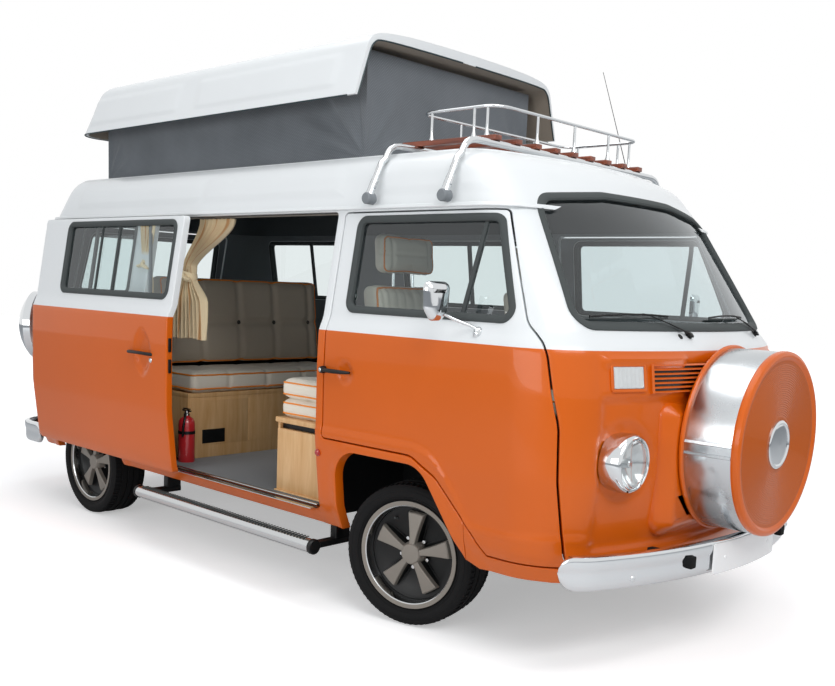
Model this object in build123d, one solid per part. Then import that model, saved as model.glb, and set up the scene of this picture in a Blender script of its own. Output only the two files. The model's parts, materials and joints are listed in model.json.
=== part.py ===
from build123d import *
import os
from collections import namedtuple
from math import asin, cos, pi, radians, sin

os.makedirs("parts", exist_ok=True)

# Millimetres. X runs forward from the front axle, Y to the vehicle's left, Z up from the ground.
# Every piece is moved forward by SHIFT_X when it is written, so that the overall box is centred.
WHEELBASE = 2400
SHIFT_X = 1114
WALL = 32
SEAT_GAP = 0.2
MOVE_GAP = 6
GUTTER_Z = 1640
DECK_Z = 1860
FLOOR_Z = 400
FRONT_SWEEP = 1900
REAR_SWEEP = 4000
LIFT = 235

# Wheels
TYRE_R = 288
TYRE_W = 195
RIM_R = 216
BEAD_R = 206
BARREL_R = 194
FRONT_WHEEL_Y = 685
REAR_WHEEL_Y = 712
KINGPIN_Y = 590
STUB_R = 24
RUN_FIT = 0.05
STEER_REST = 13.3

Section = namedtuple("Section", "z nose tail half front_r rear_r")
BODY = [
    Section(330, 880, -3150, 790, 250, 240),
    Section(430, 925, -3185, 830, 260, 260),
    Section(700, 950, -3205, 860, 260, 260),
    Section(1000, 945, -3205, 862, 260, 260),
    Section(1150, 925, -3190, 858, 260, 260),
    Section(1200, 880, -3165, 834, 250, 250),
    Section(1640, 580, -3020, 762, 170, 210),
    Section(1790, 450, -2925, 724, 170, 200),
    Section(1835, 380, -2885, 700, 160, 190),
    Section(1860, 300, -2850, 650, 120, 150),
]


def outline(s, inset=0.0):
    """Closed plan outline of one section, moved inwards by inset."""
    nose, tail, half = s.nose - inset, s.tail + inset, s.half - inset
    rf, rr = s.front_r - inset, s.rear_r - inset
    big_f, big_r = FRONT_SWEEP - inset, REAR_SWEEP - inset
    af = asin((half - rf) / (big_f - rf))
    ar = asin((half - rr) / (big_r - rr))
    cf = nose - big_f + (big_f - rf) * cos(af)
    cr = tail + big_r - (big_r - rr) * cos(ar)

    def front(angle, side):
        return (cf + rf * cos(angle), side * (half - rf + rf * sin(angle)), s.z)

    def rear(angle, side):
        return (cr - rr * cos(angle), side * (half - rr + rr * sin(angle)), s.z)

    quarter = pi / 2
    mid_f, mid_r = (quarter + af) / 2, (quarter + ar) / 2
    edges = [
        Line(rear(quarter, 1), front(quarter, 1)),
        ThreePointArc(front(quarter, 1), front(mid_f, 1), front(af, 1)),
        ThreePointArc(front(af, 1), (nose, 0, s.z), front(af, -1)),
        ThreePointArc(front(af, -1), front(mid_f, -1), front(quarter, -1)),
        Line(front(quarter, -1), rear(quarter, -1)),
        ThreePointArc(rear(quarter, -1), rear(mid_r, -1), rear(ar, -1)),
        ThreePointArc(rear(ar, -1), (tail, 0, s.z), rear(ar, 1)),
        ThreePointArc(rear(ar, 1), rear(mid_r, 1), rear(quarter, 1)),
    ]
    return Wire(edges)


def hull(inset=0.0, down=0.0, crown=0.0, rows=BODY):
    """Solid hull through the sections; down lengthens the bottom, crown lowers the top."""
    first, last = rows[0], rows[-1]
    levels = [first._replace(z=first.z - down)] + list(rows[1:-1]) + [last._replace(z=last.z - crown)]
    return Solid.make_loft([outline(s, inset) for s in levels], True)


def block(x0, x1, y0, y1, z0, z1):
    """Box between two corners."""
    return Pos((x0 + x1) / 2, (y0 + y1) / 2, (z0 + z1) / 2) * Box(x1 - x0, y1 - y0, z1 - z0)


def face_of(points, radius=0.0, grow=0.0):
    """Flat face through 2-D points, grown or shrunk, its corners rounded."""
    flat = make_face(Polyline(*points, close=True).edges())
    if grow:
        flat = offset(flat, amount=grow, kind=Kind.INTERSECTION)
    if radius:
        flat = fillet(flat.vertices(), radius)
    return flat


def side_prism(points, y0, y1, radius=0.0, grow=0.0):
    """Prism of an X-Z outline between two Y values."""
    return extrude(Pos(0, y1, 0) * (Plane.XZ * face_of(points, radius, grow)), amount=y1 - y0)


def end_prism(points, x0, x1, radius=0.0, grow=0.0):
    """Prism of a Y-Z outline between two X values."""
    return extrude(Pos(x0, 0, 0) * (Plane.YZ * face_of(points, radius, grow)), amount=x1 - x0)


def plan_prism(points, z0, z1, radius=0.0, grow=0.0):
    """Prism of an X-Y outline between two Z values."""
    return extrude(Pos(0, 0, z0) * (Plane.XY * face_of(points, radius, grow)), amount=z1 - z0)


def rod(p, q, radius):
    """Round bar between two points."""
    along = Vector(*q) - Vector(*p)
    return Plane(origin=p, z_dir=along) * Cylinder(radius, along.length, align=(Align.CENTER, Align.CENTER, Align.MIN))


def ring_y(outer, inner, y0, y1, x=0.0, z=0.0):
    """Ring or disc about an axis along Y."""
    body = rod((x, y0, z), (x, y1, z), outer)
    if inner:
        body -= rod((x, y0 - 1, z), (x, y1 + 1, z), inner)
    return body


def both(shape):
    """A piece and its mirror image on the other side, as two solids."""
    return Compound(shape.solids() + mirror(shape, about=Plane.XZ).solids())


def save(name, *shapes):
    """Writes one node from its solids."""
    solids = [s for shape in shapes for s in shape.solids()]
    whole = solids[0] if len(solids) == 1 else Compound(children=solids)
    export_step(whole.moved(Location((SHIFT_X, 0, 0))), f"parts/{name}.step")


# Body skins
outer = hull()
inner = hull(WALL, down=20, crown=20)
lining = hull(WALL + SEAT_GAP, down=20, crown=20)
shell = outer - inner
skin_out = hull(-SEAT_GAP)
glass_skin = hull(12) - hull(17, down=20, crown=8)
seal_skin = hull(-7, crown=-5) - hull(WALL + 2, down=20, crown=25)

# Openings, X-Z outlines on the sides
CAB_DOOR = [(-385, 388), (-385, 1626), (430, 1626), (600, 1232), (690, 1154), (745, 890), (762, 388)]
DOOR_ARCH = [(-400, 380), (-400, 705), (125, 705), (247, 640), (365, 514), (484, 380)]
SLIDE_DOOR = [(-1795, 395), (-425, 395), (-425, 1628), (-1795, 1628)]
SLIDE_BACK = -965
SLIDE_OUT = 92
ARCH_TOP = [(-715, 1500), (-690, 1660), (-600, 1725), (-300, 1752), (300, 1752), (600, 1725), (690, 1660), (715, 1500)]
Window = namedtuple("Window", "name side points")
WINDOWS = [
    Window("right_rear", -1, [(-2800, 1232), (-1950, 1232), (-1950, 1604), (-2800, 1604)]),
    Window("left_rear", 1, [(-2800, 1232), (-1950, 1232), (-1950, 1604), (-2800, 1604)]),
    Window("left_middle", 1, [(-1525, 1232), (-480, 1232), (-480, 1604), (-1525, 1604)]),
]
CAB_WINDOW = [(-295, 1230), (560, 1230), (418, 1604), (-295, 1604)]
SLIDE_WINDOW = [(-1525, 1232), (-480, 1232), (-480, 1604), (-1525, 1604)]
WINDSCREEN = [(-712, 1222), (712, 1222), (628, 1640), (575, 1690), (250, 1722), (-250, 1722), (-575, 1690), (-628, 1640)]
TAILGATE = [(-560, 925), (560, 925), (520, 1626), (-520, 1626)]
TAIL_WINDOW = [(-500, 1215), (500, 1215), (468, 1585), (-468, 1585)]
ENGINE_LID = [(-450, 505), (450, 505), (450, 885), (-450, 885)]
PANE_IN = 24

cab_hole = side_prism(CAB_DOOR, -1000, 1000) - side_prism(DOOR_ARCH, -1000, 1000)
slide_hole = side_prism(SLIDE_DOOR, -1000, -600, 20)
tail_hole = end_prism(TAILGATE, -3400, -2700, 30)
engine_hole = end_prism(ENGINE_LID, -3400, -2900, 30)
screen_hole = end_prism(WINDSCREEN, 300, 1100, 40)
arch_zone = end_prism(ARCH_TOP, 200, 1200)
front_arches = ring_y(390, 0, -1000, 1000, 0, 300)
rear_arches = ring_y(360, 0, -1000, 1000, -WHEELBASE, 300)

# Body panels
below = block(-3600, 1300, -1200, 1200, 300, GUTTER_Z)
front_zone = block(450, 1300, -1200, 1200, 300, GUTTER_Z) + arch_zone
rear_zone = block(-3600, -2860, -1200, 1200, 300, GUTTER_Z)
front_panel = (shell & front_zone) - cab_hole - screen_hole - front_arches
rear_frame = (shell & rear_zone) - tail_hole - engine_hole
side_zone = block(-2860, 450, -1200, 1200, 300, GUTTER_Z) - arch_zone
sides = (shell & side_zone) - cab_hole - front_arches - rear_arches
right_side = (sides & block(-3600, 1300, -1200, 0, 0, 2000)) - slide_hole
left_side = sides & block(-3600, 1300, 0, 1200, 0, 2000)
for w in WINDOWS:
    hole = side_prism(w.points, *((-1000, -600) if w.side < 0 else (600, 1000)), 45)
    if w.side < 0:
        right_side -= hole
    else:
        left_side -= hole

gutter = (hull(-20) - outer) & block(-2900, 420, -1200, 1200, 1634, 1648)
roof = (shell & block(-3600, 1300, -1200, 1200, GUTTER_Z, 2000)) - arch_zone
roof = roof - block(-2560, -620, -500, 500, 1700, 2000) + gutter



def hinge(at, along, lug_to, knuckle_to, form, length=60):
    """Fixed lugs with their pin, and the moving knuckle, which meets the skin only inside the panel's form."""
    skin = hull(HINGE_SINK)
    way = Vector(*along)
    start = Vector(*at) - way * (length / 2)
    lugs = rod(tuple(start), tuple(start + way * length), PIN)
    for k in (0, length - HINGE_EAR):
        spot = start + way * k
        lugs += rod(tuple(spot), tuple(spot + way * HINGE_EAR), HINGE_R)
        lugs += arm_between(spot, lug_to, way, HINGE_EAR)
    lugs -= skin
    inner_len = length - 2 * HINGE_EAR - 1
    spot = start + way * (HINGE_EAR + 0.5)
    knuckle = rod(tuple(spot), tuple(spot + way * inner_len), HINGE_R)
    knuckle += arm_between(spot, knuckle_to, way, inner_len)
    knuckle = knuckle - skin - (outer - form)
    knuckle -= rod(tuple(spot - way), tuple(spot + way * (inner_len + 2)), PIN + RUN_FIT)
    pick = [max(part.solids(), key=lambda s: s.volume) for part in (lugs, knuckle)]
    return pick


def arm_between(spot, to, way, length):
    """Flat arm from a hinge axis towards an offset, as long as its ear along the axis."""
    reach = Vector(*to)
    cross = way.cross(reach).normalized() * (HINGE_R * 0.8)
    pts = [spot + cross, spot - cross, spot - cross + reach, spot + cross + reach]
    face = Face(Wire.make_polygon([tuple(q) for q in pts], close=True))
    return extrude(face, amount=length, dir=way)


PIN = 4
HINGE_R = 8
HINGE_EAR = 12
HINGE_SINK = 3
TAIL_AXIS = (-3040, 1629)
ENGINE_AXIS = (-3217, 892)
DOOR_AXIS = (772, -822)
DOOR_SWEEP = 138
door_form = side_prism(CAB_DOOR, -1000, 1000, 0, -MOVE_GAP)
door_form -= side_prism(DOOR_ARCH, -1000, 1000, 0, MOVE_GAP)
gate_form = end_prism(TAILGATE, -3400, -2700, 25, -MOVE_GAP)
lid_form = end_prism(ENGINE_LID, -3400, -2900, 25, -MOVE_GAP)
frame_lugs, gate_knuckles, lid_knuckles, panel_lugs, door_knuckles = [], [], [], [], []
for y in (-330, 330):
    lugs, knuckle = hinge((TAIL_AXIS[0], y, TAIL_AXIS[1]), (0, 1, 0), (44, 0, 0), (44, 0, -24), gate_form)
    frame_lugs.append(lugs)
    gate_knuckles.append(knuckle)
for y in (-250, 250):
    lugs, knuckle = hinge((ENGINE_AXIS[0], y, ENGINE_AXIS[1]), (0, 1, 0), (36, 0, 14), (40, 0, -24), lid_form)
    frame_lugs.append(lugs)
    lid_knuckles.append(knuckle)
for z in (560, 840):
    lugs, knuckle = hinge((*DOOR_AXIS, z), (0, 0, 1), (12, 110, 0), (-40, 40, 0), door_form)
    panel_lugs.append(lugs)
    door_knuckles.append(knuckle)
for lugs in panel_lugs:
    front_panel = front_panel + lugs + mirror(lugs, about=Plane.XZ)
for lugs in frame_lugs:
    rear_frame = rear_frame + lugs
save("front_panel", front_panel)
save("rear_frame", rear_frame)
save("right_side_panel", right_side)
save("left_side_panel", left_side)
save("roof", roof)


def window(points, side, radius=45):
    """Pane and rubber seal of one side window."""
    span = (-1000, -600) if side < 0 else (600, 1000)
    pane = glass_skin & side_prism(points, *span, radius - 20, -PANE_IN - SEAT_GAP)
    ring = side_prism(points, *span, radius, -SEAT_GAP) - side_prism(points, *span, radius - 20, -PANE_IN)
    return pane, (seal_skin & ring)


panes, seals = [], []
for w in WINDOWS:
    pane, seal = window(w.points, w.side)
    panes.append(pane)
    seals.append(seal)
screen_in = end_prism(WINDSCREEN, 300, 1100, 30, -38)
windscreen = glass_skin & end_prism(WINDSCREEN, 300, 1100, 30, -38 - SEAT_GAP)
screen_seal = seal_skin & (end_prism(WINDSCREEN, 300, 1100, 40, -SEAT_GAP) - screen_in)
save("side_windows", *panes)
save("windscreen", windscreen)
save("window_seals", screen_seal, *seals)

# Cab doors
doors = (shell & door_form) - side_prism(CAB_WINDOW, -1000, 1000, 45)
right_door = doors & block(-3600, 1300, -1200, 0, 0, 2000)
for knuckle in door_knuckles:
    right_door = right_door + knuckle
save("right_cab_door", right_door)
save("left_cab_door", mirror(right_door, about=Plane.XZ))
door_pane, door_seal = window(CAB_WINDOW, -1)
save("right_door_window", door_pane, door_seal)
save("left_door_window", mirror(door_pane, about=Plane.XZ), mirror(door_seal, about=Plane.XZ))
head = Pos(300, -945, 1292) * Rotation(0, 0, -12) * Box(32, 120, 150)
arm = rod((300, -900, 1240), (400, -828, 1195), 7) + rod((300, -900, 1240), (300, -930, 1280), 7)
door_mirror = (head + arm) - outer
door_mirror = Compound(door_mirror.solids()[:1]) if len(door_mirror.solids()) > 1 else door_mirror
save("right_door_mirror", door_mirror)
save("left_door_mirror", mirror(door_mirror, about=Plane.XZ))

# Sliding door, standing open outside the rear quarter
open_move = Location((SLIDE_BACK, -SLIDE_OUT, 0))
slide_form = side_prism(SLIDE_DOOR, -1000, -600, 20, -4)
slide_door = (shell & slide_form) - side_prism(SLIDE_WINDOW, -1000, -600, 45)
slide_pane, slide_seal = window(SLIDE_WINDOW, -1)
save("sliding_door", slide_door.moved(open_move))
save("sliding_door_window", slide_pane.moved(open_move), slide_seal.moved(open_move))
rail_out = 858 + SLIDE_OUT - WALL
slide_rail = block(-2760, -1830, -rail_out, -800, 1165, 1190) - skin_out
save("slide_rail", slide_rail - slide_door.moved(open_move))

# Tailgate and engine lid
gate = (shell & gate_form) - end_prism(TAIL_WINDOW, -3400, -2700, 45)
gate_in = end_prism(TAIL_WINDOW, -3400, -2700, 30, -PANE_IN)
for knuckle in gate_knuckles:
    gate = gate + knuckle
save("tailgate", gate)
gate_seal = seal_skin & (end_prism(TAIL_WINDOW, -3400, -2700, 45, -SEAT_GAP) - gate_in)
gate_pane = glass_skin & end_prism(TAIL_WINDOW, -3400, -2700, 30, -PANE_IN - SEAT_GAP)
save("tailgate_window", gate_pane, gate_seal)
engine_lid = shell & lid_form
for knuckle in lid_knuckles:
    engine_lid = engine_lid + knuckle
save("engine_lid", engine_lid)

# Floor, wheel houses, decks and bulkhead, one pressing
floor = block(-2050, 390, -900, 900, FLOOR_Z - 30, FLOOR_Z)
floor += block(375, 900, -900, 900, 430, 450)
floor += block(375, 390, -900, 900, 370, 450)
floor += block(-2050, -2035, -900, 900, FLOOR_Z - 30, 880)
floor += block(-3180, -2035, -900, 900, 862, 880)
for side in (-1, 1):
    lo, hi = sorted((side * 375, side * 900))
    room = block(-375, 375, lo, hi, 300, 662)
    lo, hi = sorted((side * 360, side * 900))
    floor = floor + block(-390, 390, lo, hi, FLOOR_Z - 30, 677) - room
    lo, hi = sorted((side * 585, side * 900))
    house = block(-2775, -2035, lo, hi, FLOOR_Z - 30, 865)
    lo, hi = sorted((side * 600, side * 900))
    floor = floor + house - block(-2760, -2040, lo, hi, 300, 680) - block(-2775, -2040, lo, hi, 695, 862)
floor = floor & lining
swing = outer - hull(WALL + 2 * MOVE_GAP, down=20, crown=20)
floor -= swing & block(120, 800, -1000, 1000, 360, GUTTER_Z)
floor -= swing & block(-3400, -3000, -470, 470, 480, 900)
for side in (-1, 1):
    floor -= rod((DOOR_AXIS[0], side * DOOR_AXIS[1], 360), (DOOR_AXIS[0], side * DOOR_AXIS[1], 700), DOOR_SWEEP)
save("floor_pan", floor)

# Roof lid and bellows
LID_X = (-2736, -421)
LID_SHUT = 10
LID_Z = DECK_Z + LID_SHUT + LIFT
CEILING_Z = LID_Z + 220
LID_HALF = [(700, 0), (622, 253), (300, 287)]
LID_ROOM = [(682, -105), (682, 0), (605, 220)]
LID_OUT = [(-y, LID_Z + z) for y, z in LID_HALF] + [(y, LID_Z + z) for y, z in reversed(LID_HALF)]
LID_IN = [(-y, LID_Z + z) for y, z in LID_ROOM] + [(y, LID_Z + z) for y, z in reversed(LID_ROOM)]
LID_TAIL = [(x, LID_Z + z) for x, z in ((-2900, -105), (-2736, -105), (-2736, 0), (-2660, 230), (-2530, 295), (-2900, 315))]
lid_tail = side_prism(LID_TAIL, -900, 900)
lid = end_prism(LID_OUT, *LID_X) - (end_prism(LID_IN, LID_X[0], LID_X[1] + 10) - Pos(25, 0, 0) * lid_tail)
lid -= lid_tail
save("pop_top", lid)
bellows = block(-2620, -500, -560, 560, DECK_Z, CEILING_Z) - block(-2615, -505, -555, 555, DECK_Z - 5, CEILING_Z + 5)
save("roof_bellows", bellows)

# Roof rack over the cab
RACK_X = (-300, 193)
BAR_X = (-215, 180)
LEG_KNEE = (700, 1888)
LEG_FOOT = (800, 1680)
RACK_HALF = 538
SLAT_Z = 1904
rack = None
for x in BAR_X:
    bar = rod((x, -LEG_KNEE[0], SLAT_Z - 13), (x, LEG_KNEE[0], SLAT_Z - 13), 13)
    for side in (-1, 1):
        bar += Pos(x, side * LEG_KNEE[0], SLAT_Z - 13) * Sphere(15)
        bar += rod((x, side * LEG_KNEE[0], SLAT_Z - 13), (x, side * LEG_FOOT[0], LEG_FOOT[1]), 13)
        bar += block(x - 25, x + 25, *sorted((side * 772, side * 822)), 1648.2, 1692)
    rack = bar if rack is None else rack + bar
slats = None
for i in range(9):
    y = -RACK_HALF + 20 + i * (2 * RACK_HALF - 40) / 8
    slat = block(*RACK_X, y - 20, y + 20, SLAT_Z, SLAT_Z + 20)
    slats = slat if slats is None else slats + slat
RAIL_Z = 2035
corners = [(-225, -520), (180, -520), (180, 520), (-225, 520)]
for i, (x, y) in enumerate(corners):
    nx, ny = corners[(i + 1) % 4]
    rail = rod((x, y, RAIL_Z), (nx, ny, RAIL_Z), 6) + (Pos(x, y, RAIL_Z) * Sphere(7.5))
    rack = rack + rail
for x, y in corners + [(-25, -520), (-25, 520), (180, -172), (180, 172)]:
    rack = rack + rod((x, y, SLAT_Z + 20), (x, y, RAIL_Z), 6)
save("roof_rack", rack)
save("rack_slats", slats)
aerial = rod((80, 745, 1675), (-160, 700, 2415), 2.5) + rod((84, 740, 1668), (76, 785, 1690), 11)
save("aerial", max((aerial - skin_out).solids(), key=lambda s: s.volume))

# Bumpers, plate, step
bumper_row = Section(354, 1088, -3400, 892, 200, 200)
band = Solid.make_loft([outline(bumper_row), outline(bumper_row._replace(z=478))], True)
band_in = Solid.make_loft([outline(bumper_row._replace(z=350), 12), outline(bumper_row._replace(z=482), 12)], True)
front_bumper = (band - band_in) & block(820, 1200, -1000, 1000, 300, 500)
for side in (-1, 1):
    front_bumper += block(800, 1070, *sorted((side * 360, side * 400)), 395, 440)
front_bumper = front_bumper - skin_out
rear_row = Section(305, 1088, -3400, 800, 200, 200)
band = Solid.make_loft([outline(rear_row), outline(rear_row._replace(z=428))], True)
band_in = Solid.make_loft([outline(rear_row._replace(z=300), 12), outline(rear_row._replace(z=432), 12)], True)
rear_bumper = (band - band_in) & block(-3500, -3000, -1000, 1000, 200, 500)
for side in (-1, 1):
    rear_bumper += block(-3395, -3150, *sorted((side * 360, side * 400)), 350, 400)
rear_bumper = rear_bumper - skin_out
save("bumpers", front_bumper, rear_bumper)
plate_row = Section(351, 1092, -3400, 896, 200, 200)
plate = Solid.make_loft([outline(plate_row, 0), outline(plate_row._replace(z=469), 0)], True)
plate_in = Solid.make_loft([outline(plate_row._replace(z=345), 3.8), outline(plate_row._replace(z=475), 3.8)], True)
plate = (plate - plate_in) & block(900, 1200, -260, 260, 300, 500)
save("number_plate", plate)

step = rod((-1700, -915, 262), (-340, -915, 262), 32)
for x in (-1660, -380):
    step += block(x - 20, x + 20, -915, -700, 245, 275) + block(x - 20, x + 20, -785, -700, 245, 329.8)
save("side_step", step)

# Nose furniture
SPARE_Z = 821
SPARE_R = 340
spare = rod((950, 0, SPARE_Z), (1172, 0, SPARE_Z), SPARE_R) + rod((950, 0, SPARE_Z), (965, 0, SPARE_Z), SPARE_R + 12)
pad = block(850, 950, -390, 390, 480, 965)
save("spare_wheel", spare - skin_out)
save("radiator_cover", pad - skin_out - spare)

Lamp = namedtuple("Lamp", "x y z radius")
LAMP = Lamp(800, -560, 764, 106)
lamp = rod((LAMP.x, LAMP.y, LAMP.z), (LAMP.x + 112, LAMP.y, LAMP.z), LAMP.radius) - skin_out
lamps = both(lamp)
indicator = block(700, 925, -650, -490, 1010, 1110) & (hull(-14) - skin_out)
grille = (block(700, 990, -470, 470, 1000, 1105) & (hull(-10) - skin_out)) - spare
save("air_grille", grille)
tail_lamp = block(-3300, -2900, -715, -615, 590, 812) & (hull(-22) - skin_out)
save("lamps", lamps, both(indicator), both(tail_lamp))


def front_x(y, z):
    """X of the nose surface at a height, away from the corners."""
    for low, high in zip(BODY, BODY[1:]):
        if low.z <= z <= high.z:
            nose = low.nose + (high.nose - low.nose) * (z - low.z) / (high.z - low.z)
            return nose - y * y / (2 * FRONT_SWEEP)
    raise ValueError(z)


Wiper = namedtuple("Wiper", "pivot_y elbow_y blade_y0 blade_y1 blade_z0 blade_z1")
WIPERS = [Wiper(-190, -400, -640, -300, 1268, 1280), Wiper(485, 250, 20, 360, 1268, 1280)]
wipers = []
for w in WIPERS:
    x = front_x(w.pivot_y, 1211)
    boss = rod((x - 8, w.pivot_y, 1211), (x + 24, w.pivot_y, 1215), 10) - skin_out
    elbow = (front_x(w.elbow_y, 1275) + 20, w.elbow_y, 1275)
    arm = rod((x + 18, w.pivot_y, 1214), elbow, 4)
    ends = [(front_x(y, z) + 20, y, z) for y, z in ((w.blade_y0, w.blade_z0), (w.blade_y1, w.blade_z1))]
    ends[0] = (ends[0][0] - 22, ends[0][1], ends[0][2])
    blade = rod(ends[0], elbow, 5) + rod(elbow, ends[1], 5)
    wipers.append(boss + arm + blade - seal_skin)
save("wipers", *[max(w.solids(), key=lambda s: s.volume) for w in wipers])

# Rear corner cap
cap_face = Vector(-0.72, -0.69, 0)
CAP_AT = (-3084, -779, 1020)
CAP_BALL = 290
CAP_DEPTH = 212
ball_at = Vector(*CAP_AT) - cap_face.normalized() * CAP_DEPTH
cap = (Pos(ball_at) * Sphere(CAP_BALL)) & (Plane(origin=CAP_AT, z_dir=cap_face) * Cylinder(198, 300))
save("corner_cap", max((cap - skin_out).solids(), key=lambda s: s.volume))

# Cab furniture
dash = block(560, 850, -900, 900, 1010, 1205) & lining
dash -= side_prism([(540, 1000), (540, 1120), (640, 1000)], -900, 900)
save("dashboard", dash)
WHEEL_C = (345, 450, 1120)
WHEEL_TILT = 25
rim_ring = Torus(200, 13)
spokes = Cylinder(42, 24) + Box(390, 30, 10) + Box(30, 390, 10)
column = rod((0, 0, 0), (0, 0, -738), 20)
steering = Pos(*WHEEL_C) * Rotation(0, -WHEEL_TILT, 0) * (rim_ring + spokes + column)
save("steering_wheel", steering - block(300, 900, 0, 900, 300, 450.2))

seats = []
for side in (-1, 1):
    base = block(-330, 230, side * 470 - 215, side * 470 + 215, 677, 750)
    cushion = block(-300, 240, side * 470 - 235, side * 470 + 235, 750, 850)
    back = side_prism([(-300, 850), (-190, 850), (-290, 1350), (-380, 1350)], side * 470 - 235, side * 470 + 235)
    rest = block(-375, -285, side * 470 - 165, side * 470 + 165, 1380, 1560)
    stays = rod((-330, side * 470 - 60, 1340), (-330, side * 470 - 60, 1390), 7)
    stays += rod((-330, side * 470 + 60, 1340), (-330, side * 470 + 60, 1390), 7)
    seats.append(base + cushion + back + rest + stays)
save("cab_seats", *seats)

# Living space
bench_base = block(-2030, -1650, -660, 450, FLOOR_Z, 745)
save("bench_base", bench_base)
bench = block(-2000, -1620, -660, 450, 745, 860)
bench_back = side_prism([(-2000, 880), (-1880, 880), (-1930, 1350), (-2050, 1350)], -660, 450)
bench_back -= block(-2100, -1800, -700, 700, 700, 880)
bench += block(-2000, -1880, -660, 450, 860, 881) + bench_back
save("stool", block(-800, -440, -770, -420, FLOOR_Z, 740))
pads = block(-795, -445, -765, -425, 740, 825) + block(-795, -445, -765, -425, 825, 915)
save("living_cushions", bench, pads)
bottle = rod((-1600, -700, FLOOR_Z), (-1600, -700, 640), 42) + rod((-1600, -700, 640), (-1600, -700, 680), 18)
save("fire_extinguisher", bottle)
curtain = side_prism([(-1880, 1180), (-1800, 1180), (-1760, 1600), (-1900, 1600)], -800, -770)
save("curtains", curtain & lining)
save("engine_block", block(-3080, -2700, -360, 360, 300, 800))


# Axles, knuckles and wheels
def turned(shape, side):
    """Turns a front-wheel piece about its kingpin to the angle it stands at."""
    pin = Location((0, side * KINGPIN_Y, 0))
    return pin * Rotation(0, 0, STEER_REST) * pin.inverse() * shape


ARM_Z = (190, 322)
ARM_T = 24
PIN_R = 12
beam = None
for z in (215, 331):
    tube = rod((110, -352, z), (110, 352, z), 20)
    beam = tube if beam is None else beam + tube
beam += block(90, 130, -60, 60, 215, 369.8)
for side in (-1, 1):
    beam += block(75, 145, *sorted((side * 340, side * 372)), 186, 356)
    beam += block(75, 145, *sorted((side * 240, side * 300)), 331, 369.8)
    eye_y = side * (KINGPIN_Y + 22)
    for z0 in ARM_Z:
        beam += plan_prism([(75, side * 345), (145, side * 345), (24, eye_y), (-24, eye_y)], z0, z0 + ARM_T)
    beam -= rod((0, side * KINGPIN_Y, 180), (0, side * KINGPIN_Y, 360), PIN_R + RUN_FIT)
save("front_axle", beam)

rear_axle = block(-2699.8, -2280, -140, 140, 180, 400)
for side in (-1, 1):
    rear_axle += rod((-WHEELBASE, side * 120, TYRE_R), (-WHEELBASE, side * 700, TYRE_R), STUB_R)
    rear_axle += block(-WHEELBASE - 60, -WHEELBASE + 60, *sorted((side * 560, side * 610)), 220, 356)
    rear_axle += side_prism([(-2460, 250), (-2020, 330), (-2020, 369.8), (-2460, 330)], *sorted((side * 560, side * 584)))
save("rear_axle", rear_axle)
Wheel = namedtuple("Wheel", "name x y side front")
WHEELS = [
    Wheel("right_front", 0, -FRONT_WHEEL_Y, -1, True),
    Wheel("left_front", 0, FRONT_WHEEL_Y, 1, True),
    Wheel("right_rear", -WHEELBASE, -REAR_WHEEL_Y, -1, False),
    Wheel("left_rear", -WHEELBASE, REAR_WHEEL_Y, 1, False),
]
TYRE_PROFILE = [
    (BEAD_R, -78), (BEAD_R + 14, -78), (RIM_R + 8, -90), (TYRE_R - 38, -TYRE_W / 2), (TYRE_R - 16, 3.5 - TYRE_W / 2),
    (TYRE_R - 3, -84), (TYRE_R, -66), (TYRE_R, 66), (TYRE_R - 3, 84), (TYRE_R - 16, TYRE_W / 2 - 3.5),
    (TYRE_R - 38, TYRE_W / 2), (RIM_R + 8, 90), (BEAD_R + 14, 78), (BEAD_R, 78),
]
RIM_PROFILE = [
    (BARREL_R, -88), (RIM_R, -88), (RIM_R, -80), (BEAD_R, -79), (BEAD_R, 79), (RIM_R, 80), (RIM_R, 88), (BARREL_R, 88),
]
tyre = revolve(Plane.XY * face_of(TYRE_PROFILE), Axis.Y)
rim = revolve(Plane.XY * face_of(RIM_PROFILE), Axis.Y)
face = ring_y(BARREL_R + 4, 0, 40, 62)
for i in range(5):
    hole = Rotation(0, i * 72, 0) * Pos(132, 50, 0) * Rotation(90, 0, 0) * Cylinder(36, 60)
    face -= hole
face += ring_y(60, 0, -25, 70)
rim = rim + face - rod((0, -30, 0), (0, 50, 0), STUB_R + RUN_FIT)


def placed(shape, w):
    """Puts a wheel piece, modelled with its outer face towards +Y, at its corner."""
    if w.side < 0:
        shape = mirror(shape, about=Plane.XZ)
    shape = Pos(w.x, w.y, TYRE_R) * shape
    return turned(shape, w.side) if w.front else shape


for w in WHEELS:
    save(f"{w.name}_tyre", placed(tyre, w))
    save(f"{w.name}_rim", placed(rim, w))
    if w.front:
        top, low = ARM_Z[1] + ARM_T, ARM_Z[0]
        post = rod((0, w.side * KINGPIN_Y, low), (0, w.side * KINGPIN_Y, top), PIN_R)
        post += rod((0, w.side * KINGPIN_Y, low + ARM_T + 0.3), (0, w.side * KINGPIN_Y, ARM_Z[1] - 0.3), 26)
        post += rod((0, w.side * KINGPIN_Y, TYRE_R), (0, w.side * (FRONT_WHEEL_Y + 40), TYRE_R), STUB_R)
        post += rod((0, w.side * (KINGPIN_Y + 32), TYRE_R), (0, w.side * (KINGPIN_Y + 58), TYRE_R), 130)
        save(f"{w.name}_knuckle", turned(post, w.side))
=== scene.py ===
"""Looks of a raised-roof camper van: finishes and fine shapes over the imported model."""

import json
import logging
import math
from dataclasses import dataclass, field
from enum import Enum
from typing import Callable, Iterable, Sequence

import bmesh
import bpy
import numpy as np
from mathutils import Matrix, Vector, noise
from mathutils.bvhtree import BVHTree
from mathutils.geometry import delaunay_2d_cdt

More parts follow.
